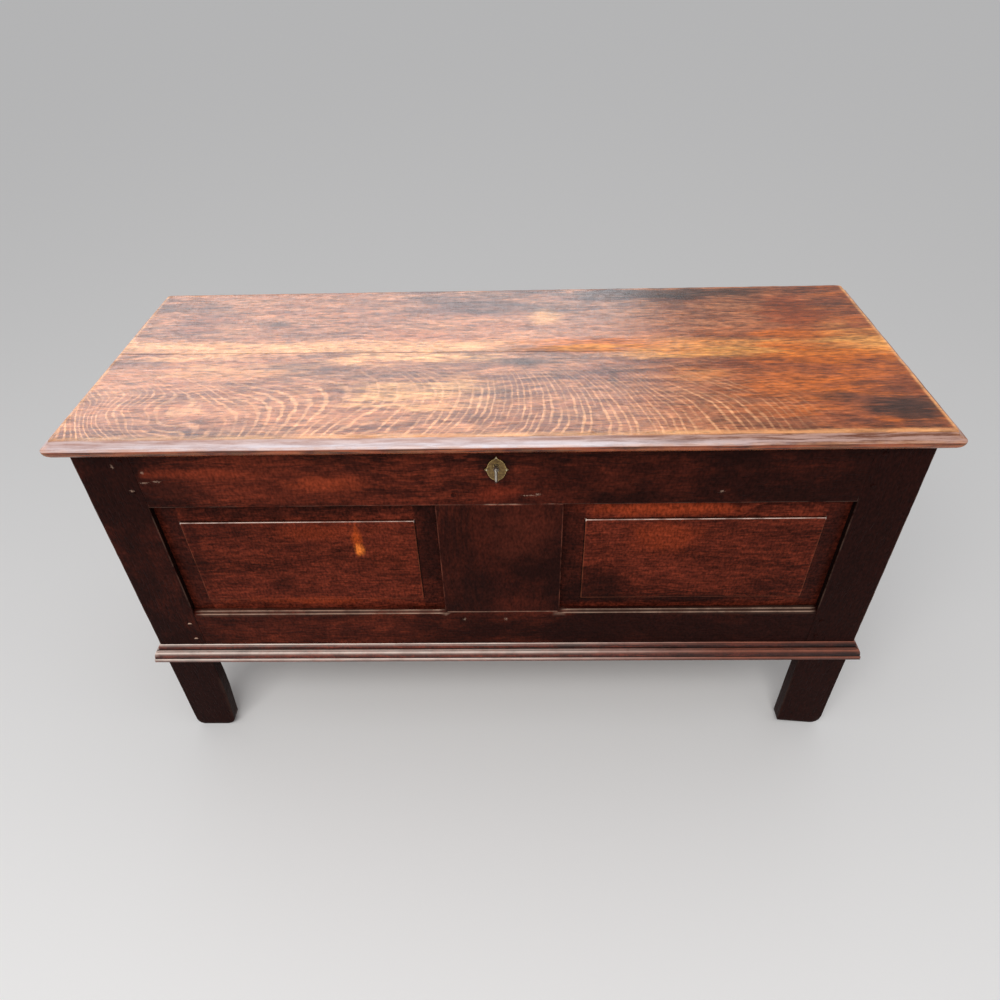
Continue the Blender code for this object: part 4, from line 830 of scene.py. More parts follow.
# Marks on the lid's top: x, y, half length, half width, strength, paint
LID_MARKS = (
    (-0.136, -0.005, 0.140, 0.018, 1.00, "gold"),
    (-0.470, 0.003, 0.100, 0.012, 0.60, "gold"),
    (-0.110, -0.106, 0.110, 0.050, 0.90, "gold"),
    (-0.384, -0.037, 0.110, 0.030, 0.40, "gold"),
    (0.276, -0.060, 0.060, 0.024, 0.35, "amber"),
    (0.340, -0.002, 0.200, 0.013, 0.75, "amber"),
    (0.528, 0.040, 0.080, 0.060, 0.50, "amber"),
    (0.130, 0.022, 0.080, 0.016, 0.60, "amber"),
    (0.470, -0.008, 0.130, 0.030, 0.85, "orange"),
    (0.448, 0.046, 0.060, 0.040, 0.75, "orange"),
    (0.460, 0.140, 0.060, 0.090, 0.85, "red"),
    (0.144, -0.060, 0.040, 0.040, 0.70, "red"),
    (0.400, -0.090, 0.100, 0.060, 0.50, "orange"),
    (-0.480, 0.110, 0.060, 0.040, 0.35, "red"),
    (0.048, -0.019, 0.055, 0.013, 0.80, "black"),
    (-0.144, -0.052, 0.090, 0.018, 0.55, "stain"),
    (-0.265, -0.030, 0.050, 0.020, 0.35, "stain"),
    (0.260, 0.205, 0.330, 0.022, 0.85, "black"),
    (-0.040, 0.165, 0.180, 0.035, 0.85, "stain"),
    (0.536, -0.165, 0.060, 0.050, 0.85, "black"),
    (0.456, -0.124, 0.030, 0.016, 0.60, "black"),
    (0.316, -0.185, 0.045, 0.016, 0.75, "black"),
    (-0.356, 0.113, 0.045, 0.012, 0.55, "black"),
    (-0.500, -0.160, 0.060, 0.030, 0.35, "stain"),
    (-0.278, 0.004, 0.020, 0.008, 0.60, "black"),
    (-0.036, -0.006, 0.008, 0.006, 0.70, "black"),
    (-0.313, -0.135, 0.006, 0.050, 0.75, "black"),
    (0.162, -0.068, 0.008, 0.030, 0.60, "black"),
    (0.074, 0.123, 0.030, 0.030, 1.00, "gold"),
    (-0.015, -0.120, 0.050, 0.040, 0.45, "stain"),
    (0.360, -0.040, 0.060, 0.022, 0.40, "red"),
    (0.254, -0.195, 0.014, 0.005, 0.60, "black"),
)
LONG_MARK = 0.03  # marks longer than this have wide, ragged edges


class LidOak(Oak):
    """Faded, stained and flecked oak of the lid, golden along its joint and edges."""

    FLECK_SPACING = 0.0122

    def __init__(self, name, colours):
        super().__init__(name, X, fine=150.0, drawn_out=11.0)
        self.colours = colours
        self.paints = {}
        for paint in ("gold", "amber", "orange", "red", "stain", "black"):
            middle = getattr(colours, f"lid_{paint}")[:]
            dark, light = tuple(0.45 * c for c in middle), tuple(min(1.0, 1.4 * c) for c in middle)
            self.paints[paint] = self.timber(
                dark, middle, light, figure=0.3, streaks=0.42, pores=0.4, mottle=0.25
            )
        self.wide_edge = self.ragged((12.0, 70.0, 4.0), 3.0)
        self.small_edge = self.ragged((60.0, 120.0, 4.0), 1.0)
        self.from_end = LID_HIGH.x - abs(self.x)
        self.from_front = self.y - LID_LOW.y

    def on_top(self, x, y, long, wide, wander=0.0):
        """1 inside an oval on the lid's top."""
        return self.spot((x, y, LID_HIGH.z), (long, wide, 1.0), wander)

    def stained(self):
        """The lid's ground, redder to the right, with its stains and the wear between them."""
        tone = self.timber(
            *tones(self.colours, "lid"), figure=0.3, streaks=0.38, pores=0.42, mottle=0.3
        )
        right = (self.x - self.y.fade(0.04, 0.09) * 0.17).fade(0.05, 0.45)
        tone = self.mix(right * 0.75, tone, self.paints["red"])
        stain = self.noise((7.0, 20.0, 4.0), 6.0, 0.7).fade(0.48, 0.66)
        tone = self.mix(stain * (right * 0.3 + 0.5), tone, self.paints["stain"])
        flame = self.noise((7.0, 34.0, 4.0), 6.0, 0.7, shift=(3.1, 7.7, 0.0)).fade(0.50, 0.64)
        return self.mix(flame * (right * 0.30 + 0.15), tone, self.paints["orange"])

    def behind_joint(self):
        """How far a place is behind the joint between the boards."""
        slope = (JOINT_RIGHT - JOINT_LEFT) / (2 * LID_HIGH.x)
        return self.y - (self.x * slope + (JOINT_RIGHT + JOINT_LEFT) / 2)

    def joint_worn(self, tone):
        """Golden wear along the joint, orange and amber to the right."""
        behind = self.behind_joint() + self.ragged((9.0, 60.0, 4.0), 0.04)
        band = behind.fade(-0.004, 0.004) * behind.fade(0.046, 0.026)
        warm = self.mix(self.x.fade(-0.05, 0.12), self.paints["gold"], self.paints["orange"])
        warm = self.mix(self.x.fade(0.16, 0.30), warm, self.paints["amber"])
        tone = self.mix(band * 0.62, tone, warm)
        ahead = behind.fade(-0.022, -0.010) * behind.fade(0.010, 0.0) * self.x.fade(0.10, 0.24)
        return self.mix(ahead * 0.85, tone, self.paints["amber"])

    def lid_marked(self, tone):
        for x, y, long, wide, share, paint in LID_MARKS:
            edge = self.wide_edge if long > LONG_MARK else self.small_edge
            tone = self.mix(self.on_top(x, y, long, wide, edge) * share, tone, self.paints[paint])
        return tone

    def flecked(self, tone):
        """Ray flecks: pale lines over the front board that bend along the grain at the joint."""
        share = self.from_front / (JOINT_LEFT - LID_LOW.y)
        bend = share.most(0.0) ** 2.0 * 0.24
        lean = self.x.fade(-0.38, -0.17) * self.x.fade(0.28, -0.06) * (share * 0.20)
        swirl = self.ragged((3.6, 5.0, 1.0), 0.11, 1.0, 0.5)
        pace = self.ragged((22.0, 8.0, 1.0), 0.020, 1.0, 0.5)
        jitter = self.ragged((80.0, 50.0, 1.0), 0.008, 2.0, 0.5)
        knot = self.on_top(-0.480, -0.158, 0.090, 0.060) * 0.06
        run = self.x + (pace + jitter) + (bend - lean + (swirl + knot))
        line = self.math("SINE", run * (2 * math.pi / self.FLECK_SPACING)).fade(0.0, 1.0)
        broken = self.noise((80.0, 9.0, 1.0), 2.0, 0.6, self.join(run, self.y, 0.0))
        line = line * broken.fade(0.33, 0.60) * (self.streak.fade(0.42, 0.54) * 0.4 + 0.6)
        where = self.x.fade(0.46, 0.26) * share.fade(0.92, 0.30)
        where = where * self.noise((7.0, 10.0, 4.0), 3.0).fade(0.26, 0.44)
        calm = self.timber(
            *tones(self.colours, "lid"), figure=0.2, streaks=0.2, pores=0.35, mottle=0.2
        )
        golden = self.on_top(-0.100, -0.100, 0.120, 0.055, self.wide_edge)
        tone = self.mix(where * (golden * -0.6 + 0.6), tone, calm)
        return self.mix(line * where * 0.85, tone, self.colours.lid_fleck[:])

    def edged(self, tone):
        """Rubbed gold along the ends and the front arris, and outside them the moulding with a
        painted sheen, a painted highlight on its nose and painted shade under its lip.
        """
        wander = self.ragged((40.0, 40.0, 4.0), 0.008)
        edge = (self.from_front + wander).fade(0.0220, 0.0130)
        edge = edge.most((self.from_end + wander).fade(0.0165, 0.0120))
        tone = self.mix(edge * 0.8, tone, self.paints["gold"])
        moulded = self.from_end.least(self.from_front).fade(0.0114, 0.0098)
        at_end = (self.from_end - self.from_front).fade(0.001, -0.001)
        front_lines, end_lines = (
            self.noise(along(way, 14.0, 260.0), 5.0, 0.7).fade(0.40, 0.60) for way in (X, Y)
        )
        drawn = at_end * (end_lines - front_lines) + front_lines
        # The moulding's tone is a painted sheen: pale lavender to the left, brown to the right.
        pale = self.mix(drawn, srgb(178, 142, 136), srgb(210, 188, 187))
        brown = self.mix(drawn, srgb(106, 62, 48), srgb(184, 148, 138))
        cove_sheen = self.mix(self.x.fade(-0.05, 0.32), pale, brown)
        tone = self.mix(moulded * 0.92, tone, cove_sheen)
        up = self.z - LID_LOW.z
        # A painted highlight along the nose, strongest a little left of the middle.
        nose = up.fade(0.0120, 0.0135) * up.fade(0.0190, 0.0155) * moulded
        nose = nose * abs(self.x + 0.10).fade(0.60, 0.12) * (drawn * 0.5 + 0.5)
        tone = self.mix(nose * 0.9, tone, srgb(236, 228, 234))
        # The under-lip darkened to orange-brown: painted shade below the nose.
        under_lip_shade = self.mix(drawn, srgb(70, 32, 22), srgb(156, 76, 46))
        tone = self.mix(up.fade(0.0128, 0.0116), tone, under_lip_shade)
        sawn = self.y.fade(LID_HIGH.y - 0.0020, LID_HIGH.y - 0.0005) * 0.8
        brown = self.timber(srgb(60, 36, 26), srgb(106, 68, 48), srgb(140, 98, 70))
        return self.mix(sawn, tone, brown)


def lid_oak(name, colours):
    """The lid's finish, laid from its ground up to the worn arrises and the raw underside."""
    oak = LidOak(name, colours)
    tone = oak.flecked(oak.lid_marked(oak.joint_worn(oak.stained())))
    seam = abs(oak.behind_joint()).fade(0.0022, 0.0008) * oak.x.fade(0.42, 0.10)
    tone = oak.mix(seam * 0.45, tone, colours.lid_black[:])
    tone = oak.speckled(tone, 1.7, (75.0, 300.0, 240.0))
    # Painted sheen: the lid lightened to the left, and more towards the front, where the window's
    # reflection lies.
    sheen_lift = oak.x.fade(0.38, -0.10) * (oak.y.fade(0.16, 0.02) * 0.12 + 0.12) + 1.0
    tone = oak.edged(oak.scaled(tone, sheen_lift))
    tone = oak.worn(tone, colours.lid_gold[:], 0.25, grime=0.0)
    under = oak.z.fade(LID_LOW.z + 0.0016, LID_LOW.z + 0.0006)
    under = under * (oak.from_end.fade(0.012, 0.016) * oak.from_front.fade(0.012, 0.016))
    tone = oak.bared(tone, colours, under)
    oak.surface(0.00012)
    bare = oak.on_top(0.140, 0.022, 0.110, 0.024, oak.wide_edge) * 0.55
    return oak.polish(tone, 0.15, 0.42, 0.30, bare)


class Metal(Finish):
    """Metal clouded from one tone to another."""

    def __init__(self, name, size, detail, rough, start, fresh, dull):
        super().__init__(name)
        self.cloud = self.noise((size, size, size), detail, rough)
        self.tone = self.mix(self.cloud.fade(start, 0.7), fresh, dull)

    def lay(self, share, paint):
        """Lays another tone over the metal."""
        self.tone = self.mix(share, self.tone, paint)

    def polish(self, metallic, low, spread, depth):
        """Roughness from low upwards, and a bump, by the clouds."""
        shine = self.cloud * spread + low
        self.set(base_color=self.tone, metallic=metallic, roughness=shine)
        self.bump(self.cloud, depth)
        return self.material


def old_brass(name, colours):
    metal = Metal(name, 240.0, 4.0, 0.6, 0.38, colours.brass[:], srgb(92, 70, 38))
    metal.lay(metal.attribute("rub") * 0.7, srgb(206, 178, 116))
    metal.lay(metal.attribute("grime") * 0.8, srgb(40, 30, 18))
    pins = metal.y.fade(PLATE_LOW.y + 0.0006, PLATE_LOW.y + 0.0002)
    metal.lay(pins * 0.9, srgb(214, 202, 176))
    return metal.polish(0.5, 0.42, 0.3, 0.0002)


def forged_iron(name, colours):
    metal = Metal(name, 90.0, 4.0, 0.65, 0.35, colours.iron[:], srgb(84, 78, 74))
    rust = metal.noise((38.0, 38.0, 38.0), 4.0, 0.6).fade(0.5, 0.68)
    metal.lay(rust * 0.55, srgb(96, 54, 34))
    metal.lay(metal.attribute("rub") * 0.5, srgb(132, 124, 116))
    return metal.polish(0.7, 0.35, 0.35, 0.0006)


def handled_steel(name, colours):
    metal = Metal(name, 160.0, 3.0, 0.6, 0.42, colours.steel[:], srgb(112, 100, 86))
    return metal.polish(0.9, 0.2, 0.25, 0.0001)


# Operators


class PieceOperator(bpy.types.Operator):
    """What every step of the coffer shares."""

    bl_options = {"REGISTER", "UNDO"}

    def execute(self, context):
        self.make(context.scene.coffer_sizes, context.scene.coffer_colours)
        return {"FINISHED"}


class COFFER_OT_lid(PieceOperator):
    """Model the lid's two boards with their moulded edge, and their battens"""

    bl_idname = "coffer.lid"
    bl_label = "Lid"

    ROUND_STEPS, NOSE_STEPS = 6, 3
    STAPLE_SEAT = 0.0022  # how deep the staple is let into the lid
    NEAR_JOINT = 0.001  # an edge nearer the joint than this is at it

    def profile(self, sizes):
        """Lid edge from the underside up: (distance in from the nose, height)."""
        nose, under, rounded = sizes.nose_height, sizes.under_round, sizes.nose_round
        foot = LID_HIGH.z - LID_LOW.z - sizes.cove_height
        points = [(under * (1 - s), nose * (1 - c)) for s, c in arc(self.ROUND_STEPS)]
        for s, c in arc(self.NOSE_STEPS)[1:]:
            points.append((rounded * (1 - c), nose + (foot - nose) * s))
        run = sizes.cove_width - rounded
        for turn in range(1, self.ROUND_STEPS + 1):
            part = turn / self.ROUND_STEPS
            points.append((rounded + run * part, foot + sizes.cove_height * part**2))
        return points

    def boards(self, sizes):
        """The two boards, before wear."""
        front, back = [], []
        for inward, height in self.profile(sizes):
            half, near, z = LID_HIGH.x - inward, LID_LOW.y + inward, LID_LOW.z + height
            front.append([(-half, near, z), (half, near, z),
                          (half, JOINT_RIGHT, z), (-half, JOINT_LEFT, z)])
            back.append([(-half, JOINT_LEFT + BOARD_GAP, z), (half, JOINT_RIGHT + BOARD_GAP, z),
                         (half, LID_HIGH.y, z), (-half, LID_HIGH.y, z)])
        boards = {}
        for node, outlines in (("lid_front_board", front), ("lid_back_board", back)):
            boards[node] = loft(f"oak_{node}", outlines)
        low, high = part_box("lid_staple")
        carve(boards["lid_front_board"], block(
            "staple_seat", (low.x - BOARD_GAP, low.y - BOARD_GAP, LID_LOW.z - OVERCUT),
            (high.x + BOARD_GAP, high.y + BOARD_GAP, LID_LOW.z + self.STAPLE_SEAT)
        ))
        return boards

    def make(self, sizes, colours):
        def at_joint(edge):
            return all(from_joint(v.co) < self.NEAR_JOINT for v in edge.verts)

        def on_top(edge):
            return all(v.co.z > LID_HIGH.z - FLUSH for v in edge.verts)

        def at_corner(edge):
            ends = [v.co for v in edge.verts]
            moulded = LID_HIGH.x - sizes.cove_width - FLUSH
            short = edge.calc_length() < sizes.cove_width * 2
            return short and all(
                abs(co.x) > moulded and from_joint(co) >= self.NEAR_JOINT for co in ends
            )

        oak = lid_oak("lid oak", colours)
        for node, made in self.boards(sizes).items():
            soften(made, sizes.lid_corner, 3, at_corner)
            soften(made, sizes.joint_arris, 1, lambda edge: on_top(edge) and at_joint(edge))
            soften(made, sizes.lid_arris, 3, lambda edge: on_top(edge) and not at_joint(edge))
            slice_up(made, sizes.cell)
            weather(made, sizes.hollow, sizes.dent, lambda place: float(from_joint(place) > RIM))
            fit(made, oak, "lid", "lid_oak", node)

        raw = plain_oak("batten oak", Y, colours)
        for side in SIDES:
            node = f"lid_batten_{side}"
            made = wear(block(f"oak_{node}", *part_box(node)), sizes)
            fit(made, raw, "lid", "raw_oak", node)


class COFFER_OT_frames(PieceOperator):
    """Model the stiles with their worn feet, the rails and the muntins"""

    bl_idname = "coffer.frames"
    bl_label = "Frames"

    # Height above the floor, then what is worn off the outer, inner, front and back faces
    FOOT_WEAR = (
        (0.0, 0.0150, 0.0290, 0.0010, 0.0040),
        (0.0013, 0.0090, 0.0205, 0.0004, 0.0016),
        (0.0041, 0.0048, 0.0145, 0.0001, 0.0005),
        (0.0081, 0.0020, 0.0102, 0.0, 0.0),
        (0.014, 0.0004, 0.0074, 0.0, 0.0),
        (0.032, 0.0, 0.0064, 0.0, 0.0),
        (0.060, 0.0, 0.0046, 0.0, 0.0),
        (0.090, 0.0, 0.0028, 0.0, 0.0),
        (0.130, 0.0, 0.0022, 0.0, 0.0),
        (0.168, 0.0, 0.0034, 0.0, 0.0),
        (0.190, 0.0, 0.0040, 0.0, 0.0),
        (0.1945, 0.0, 0.0, 0.0, 0.0),
    )
    SPLIT_FOOT_WEAR = (
        (0.0, 0.0180, 0.0030, 0.0010, 0.0040),
        (0.0015, 0.0110, 0.0008, 0.0004, 0.0016),
        (0.0050, 0.0055, 0.0, 0.0001, 0.0005),
        (0.0110, 0.0018, 0.0, 0.0, 0.0),
        (0.020, 0.0, 0.0, 0.0, 0.0),
    )
    SPLIT = 0.0085  # what has broken off under the right front foot
    SPLIT_TOP = 0.020  # how far up that foot is uneven
    PLATE_SEAT = 0.0021  # how deep the lock's plate is let into the rail
    ON_ARRIS = 1e-5  # an edge nearer the rail's front arris than this is part of it

    def stile(self, face, side, sizes):
        node = f"{face}_{side}_stile"
        low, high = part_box(node)
        outlines, split = [], (face, side) == ("front", "right")
        feet = self.SPLIT_FOOT_WEAR if split else self.FOOT_WEAR
        for z, outer, inner, near, far in feet + ((high.z, 0.0, 0.0, 0.0, 0.0),):
            left, right = (outer, inner) if side == "left" else (inner, outer)
            first, last = (near, far) if face == "front" else (far, near)
            x0, x1 = low.x + left, high.x - right
            y0, y1 = low.y + first, high.y - last
            z0 = z + self.SPLIT * max(0.0, 1 - z / self.SPLIT_TOP) if split else z
            outlines.append([(x0, y0, z0), (x1, y0, z), (x1, y1, z), (x0, y1, z0)])
        return wear(loft(f"oak_{node}", outlines), sizes, exposed)

    def chamfer(self, rail, width):
        """Chamfers the bottom rail's upper front arris below each panel."""
        edit(rail)
        for end in (-MUNTIN_HALF, MUNTIN_HALF):
            bpy.ops.mesh.select_all(action="SELECT")
            bpy.ops.mesh.bisect(plane_co=(end, 0, 0), plane_no=(1, 0, 0))

        def below_panel(edge):
            ends = [v.co for v in edge.verts]
            away = [max(abs(co.y - FRONT), abs(co.z - OPENING_LOW)) for co in ends]
            beside = abs(ends[0].x + ends[1].x) / 2 > MUNTIN_HALF
            return beside and max(away) < self.ON_ARRIS

        pick("EDGE", below_panel)
        bpy.ops.mesh.bevel(offset=width, offset_type="OFFSET", segments=1, affect="EDGES")
        done()

    def lock_seat(self, rail):
        """Lets the lock's case and then its plate into the top rail."""
        case_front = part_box("lock_cap")[0].y - SEAT_GAP
        for node, front in (
            ("lock_cap", case_front), ("lock_plate", INNER_FRONT - self.PLATE_SEAT)
        ):
            low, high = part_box(node)
            carve(rail, block(
                f"{node}_seat", (low.x - SEAT_GAP, front, low.z - SEAT_GAP),
                (high.x + SEAT_GAP, INNER_FRONT + OVERCUT, CARCASS_TOP + OVERCUT)
            ))

    def make(self, sizes, colours):
        warm = (srgb(160, 92, 72), srgb(160, 92, 72))
        upright = frame_oak("upright oak", Z, colours, smoked=0.32, rubbed=0.2, grain=0.6)
        level = frame_oak("rail oak", X, colours)
        finishes = {
            "front_top_rail": frame_oak(
                "top rail oak", X, colours, smoked=0.06, rubbed=0.8, marks=TOP_RAIL_MARKS
            ),
            # The bottom rail's chamfer is rubbed pale evenly: wear and a painted highlight.
            "front_bottom_rail": frame_oak(
                "bottom rail oak", X, colours, smoked=0.32, rubbed=1.0, even=0.5
            ),
        }
        post = frame_oak("muntin oak", Z, colours, smoked=0.2, rubbed=0.6, rub_and_highlight_tones=warm, low=0.3,
                         marks=MUNTIN_MARKS, grain=0.35)
        deep = frame_oak("side rail oak", Y, colours, smoked=0.15, ends=0.0)

        def fit_wood(made, oak, node):
            fit(made, oak, "carcass", "dark_oak", node)

        for face in ("front", "back"):
            for side in SIDES:
                fit_wood(self.stile(face, side, sizes), upright, f"{face}_{side}_stile")
            for height in HEIGHTS:
                node = f"{face}_{height}_rail"
                made = block(f"oak_{node}", *between(node, X, -OPENING_HALF, OPENING_HALF))
                if node == "front_top_rail":
                    self.lock_seat(made)
                if node == "front_bottom_rail":
                    self.chamfer(made, sizes.rail_chamfer)
                fit_wood(wear(made, sizes, exposed), finishes.get(node, level), node)
            node = f"{face}_muntin"
            made = block(f"oak_{node}", *between(node, Z, OPENING_LOW, OPENING_HIGH))
            fit_wood(wear(made, sizes, exposed), post, node)
        for side in SIDES:
            for height in HEIGHTS:
                node = f"{side}_{height}_rail"
                made = block(f"oak_{node}", *between(node, Y, INNER_FRONT, INNER_BACK))
                fit_wood(wear(made, sizes), deep, node)


class COFFER_OT_panels(PieceOperator):
    """Model the fielded front panels and the plain panels of the back and sides"""

    bl_idname = "coffer.panels"
    bl_label = "Panels"

    SHARE_OF_ARRIS, SHARE_OF_DENT = 0.6, 0.5  # a panel is knocked less than its frame
    BELOW_STEP = 0.0005  # what is deeper than this below the field's step isn't rubbed

    def fielded(self, side, sizes):
        node = f"front_{side}_panel"
        low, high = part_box(node)
        left, right = sorted((SIDES[side] * OPENING_HALF, SIDES[side] * MUNTIN_HALF))
        tongue = FRONT + sizes.bevel_setback

        def outline(y, x0, x1, z0, z1):
            return [(x0, y, z0), (x0, y, z1), (x1, y, z1), (x1, y, z0)]

        def in_sight(edge):
            return all(v.co.y < tongue - FLUSH for v in edge.verts)

        field = (left + sizes.field_side, right - sizes.field_side,
                 OPENING_LOW + sizes.field_bottom, OPENING_HIGH - sizes.field_top)
        grooved = (low.x, high.x, low.z, high.z)
        made = loft(f"oak_{node}", [
            outline(high.y, *grooved),
            outline(tongue, *grooved),
            outline(tongue, left, right, OPENING_LOW, OPENING_HIGH),
            outline(low.y + sizes.field_step, *field),
            outline(low.y, *field),
        ])
        soften(made, sizes.arris * self.SHARE_OF_ARRIS, 2, in_sight)
        slice_up(made, sizes.cell, {X: [field[:2]], Z: [field[2:]]})

        def rubbing(place):
            """The field's top arris is rubbed most and carries a painted highlight, and its sides
            and foot a little.
            """
            if place.y > low.y + sizes.field_step + self.BELOW_STEP:
                return 0.0
            return 1.0 if place.z > field[3] - RIM else 0.25

        weather(made, sizes.hollow, sizes.dent * self.SHARE_OF_DENT, rubbing)
        return made

    def make(self, sizes, colours):
        red = panel_oak("panel oak", sizes, colours)
        for side in SIDES:
            made = self.fielded(side, sizes)
            fit(made, red, "carcass", "panel_oak", f"front_{side}_panel")
            for node, grain, facing in ((f"back_{side}_panel", X, Y), (f"{side}_panel", Y, X)):
                low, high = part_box(node)
                inner = facing, min(abs(low[facing]), abs(high[facing]))
                oak = frame_oak(f"{node} oak", grain, colours, smoked=0.1, ends=0.0, inner=inner)
                made = wear(block(f"oak_{node}", low, high), sizes)
                fit(made, oak, "carcass", "panel_oak", node)


class COFFER_OT_moulding(PieceOperator):
    """Model the base moulding of the front and its returns along the sides"""

    bl_idname = "coffer.moulding"
    bl_label = "Base moulding"

    STEPS = 5  # of each round
    LOW_EASE = 0.0012  # what is rubbed off the lowest arris
    FILLET_EASE = 0.0008, 0.0010  # in and down, off the arris above it
    BEAD_TURN = math.radians(80)
    RUB_REACH = 0.005  # how far from an arris its rubbing fades out
    SHARE_OF_WEAR = 0.6  # of what the frame has

    def profile(self, sizes, height, out):
        """Section from the bottom up: (distance out from the carcass, height)."""
        fillet, ovolo, bead = sizes.moulding_fillet, sizes.moulding_ovolo, sizes.moulding_bead
        inward, down = self.FILLET_EASE
        points = [(out - self.LOW_EASE, 0.0), (out, self.LOW_EASE), (out, fillet - down)]
        points.append((out - inward, fillet))
        start = bead + sizes.moulding_quirk
        swell = out - sizes.moulding_quirk - bead - sizes.moulding_quirk
        shelf = fillet + ovolo
        points += [(start + swell * c, fillet + ovolo * s) for s, c in arc(self.STEPS)]
        for s, c in arc(self.STEPS, self.BEAD_TURN):
            points.append((bead * c, shelf + (height - shelf) * s))
        return points

    def make(self, sizes, colours):
        low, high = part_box("base_moulding_front")
        out, height = FRONT - low.y, high.z - low.z
        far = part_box("base_moulding_left")[1].y
        strips = {"front": [], "left": [], "right": []}
        for stands, up in self.profile(sizes, height, out):
            z, y, seat = low.z + up, FRONT - stands, FRONT - SEAT_GAP
            strips["front"].append([
                (-HALF_WIDTH - stands, y, z), (HALF_WIDTH + stands, y, z),
                (HALF_WIDTH, seat, z), (-HALF_WIDTH, seat, z)
            ])
            for side, sign in SIDES.items():
                inner, outer = sign * (HALF_WIDTH + SEAT_GAP), sign * (HALF_WIDTH + stands)
                corners = [(inner, FRONT, z), (outer, y, z), (outer, far, z), (inner, far, z)]
                strips[side].append(corners if sign > 0 else corners[::-1])
        fillet = sizes.moulding_fillet
        tops = fillet, fillet + 0.8 * sizes.moulding_ovolo, height

        def rubbing(place):
            """Each member's upper arris is rubbed most and carries the painted highlight."""
            away = min(abs(place.z - low.z - top) for top in tops)
            return max(0.2, 1.0 - away / self.RUB_REACH)

        # Painted highlight on the members' upper arrises: near white to the left, red-brown to the
        # right.
        rub_and_highlight_tones = srgb(240, 220, 208), srgb(150, 88, 68)
        for name, axis in {"front": X, "left": Y, "right": Y}.items():
            node = f"base_moulding_{name}"
            made = loft(f"oak_{node}", strips[name])
            slice_up(made, sizes.cell)
            hollow, dent = sizes.hollow * self.SHARE_OF_WEAR, sizes.dent * self.SHARE_OF_WEAR
            weather(made, hollow, dent, rubbing)
            # The quirks between the members darken fully: painted shade and dirt.
            oak = frame_oak(f"{name} moulding oak", axis, colours, smoked=-0.45, rubbed=1.0,
                            even=0.75, gloss=0.3, grime=1.0, rub_and_highlight_tones=rub_and_highlight_tones)
            fit(made, oak, "carcass", "dark_oak", node)


class COFFER_OT_floor(PieceOperator):
    """Model the floor boards"""

    bl_idname = "coffer.floor"
    bl_label = "Floor boards"

    def make(self, sizes, colours):
        raw = plain_oak("floor oak", Y, colours)
        for node in sorted(name for name in frame["nodes"] if name.startswith("floor_board_")):
            low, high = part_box(node)
            low.x, high.x = max(low.x, -SIDE_INNER), min(high.x, SIDE_INNER)
            made = wear(block(f"oak_{node}", low, high), sizes)
            fit(made, raw, "carcass", "raw_oak", node)


class COFFER_OT_pegs(PieceOperator):
    """Model the pegs of the front and back frames"""

    bl_idname = "coffer.pegs"
    bl_label = "Pegs"

    FACETS = 10
    ARRIS, HOLLOW, DENT = 0.0008, 0.0003, 0.0006
    RUBBED_ABOVE = 0.3  # a peg is rubbed higher up than this share of its radius

    def peg(self, name, centre, radius, start, end):
        """A cleft peg across the frame, from y to y."""
        made = add(
            name, bpy.ops.mesh.primitive_cylinder_add, vertices=self.FACETS, radius=radius,
            depth=end - start, location=(centre.x, (start + end) / 2, centre.z),
            rotation=(math.pi / 2, 0, 0)
        )
        soften(made, self.ARRIS, 2)
        rubbed = centre.z + self.RUBBED_ABOVE * radius
        weather(made, self.HOLLOW, self.DENT, lambda place: float(place.z > rubbed))
        return made

    def make(self, sizes, colours):
        oak = frame_oak("peg oak", Y, colours, smoked=0.5, rubbed=0.0)
        chipped = frame_oak("chipped peg oak", Y, colours, smoked=0.5, rubbed=1.0, even=0.8)
        for node in [n for n in frame["nodes"] if n.startswith("peg_")]:
            low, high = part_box(node)
            centre, radius = (low + high) / 2, (high.x - low.x) / 2
            made = self.peg(f"oak_{node}", centre, radius, FRONT - sizes.peg_proud, high.y)
            worn = node.startswith("peg_left_bottom")
            fit(made, chipped if worn else oak, "carcass", "peg_oak", node)
            back = FRONT + BACK - high.y, BACK + sizes.peg_proud
            made = self.peg(f"oak_back_{node}", centre, radius, *back)
            fit(made, oak, "carcass", "peg_oak")


class COFFER_OT_ironwork(PieceOperator):
    """Model the hinges, the lock, its staple and the nails of the battens"""

    bl_idname = "coffer.ironwork"
    bl_label = "Ironwork"

    def make(self, sizes, colours):
        iron = forged_iron("forged iron", colours)
        bodies = frame["record"]["behaviour"]["bodies"]
        names = ["bolt_spring", "lid_staple", "lock_bolt", "lock_cap", "lock_plate"]
        names += [n for n in frame["nodes"] if "_hinge_" in n or n.startswith("batten_nail")]
        for node in names:
            width = sizes.fine_arris if node == "bolt_spring" else sizes.iron_arris
            made = frame_copy(f"iron_{node}", node, width, sizes.cell / 2)
            body = next(name for name, members in bodies.items() if node in members)
            fit(made, iron, body, "forged_iron", node)


class COFFER_OT_escutcheon(PieceOperator):
    """Model the brass keyhole plate with its pins"""

    bl_idname = "coffer.escutcheon"
    bl_label = "Escutcheon"

    def make(self, sizes, colours):
        made = frame_copy("brass_escutcheon", "escutcheon", sizes.fine_arris, sizes.cell / 7)
        fit(made, old_brass("old brass", colours), "carcass", "old_brass", "escutcheon")


class COFFER_OT_key(PieceOperator):
    """Model the key that stands in the lock"""

    bl_idname = "coffer.key"
    bl_label = "Key"

    def make(self, sizes, colours):
        made = frame_copy("steel_key", "key", sizes.fine_arris, sizes.cell / 2)
        fit(made, handled_steel("handled steel", colours), "key", "key_steel", "key")


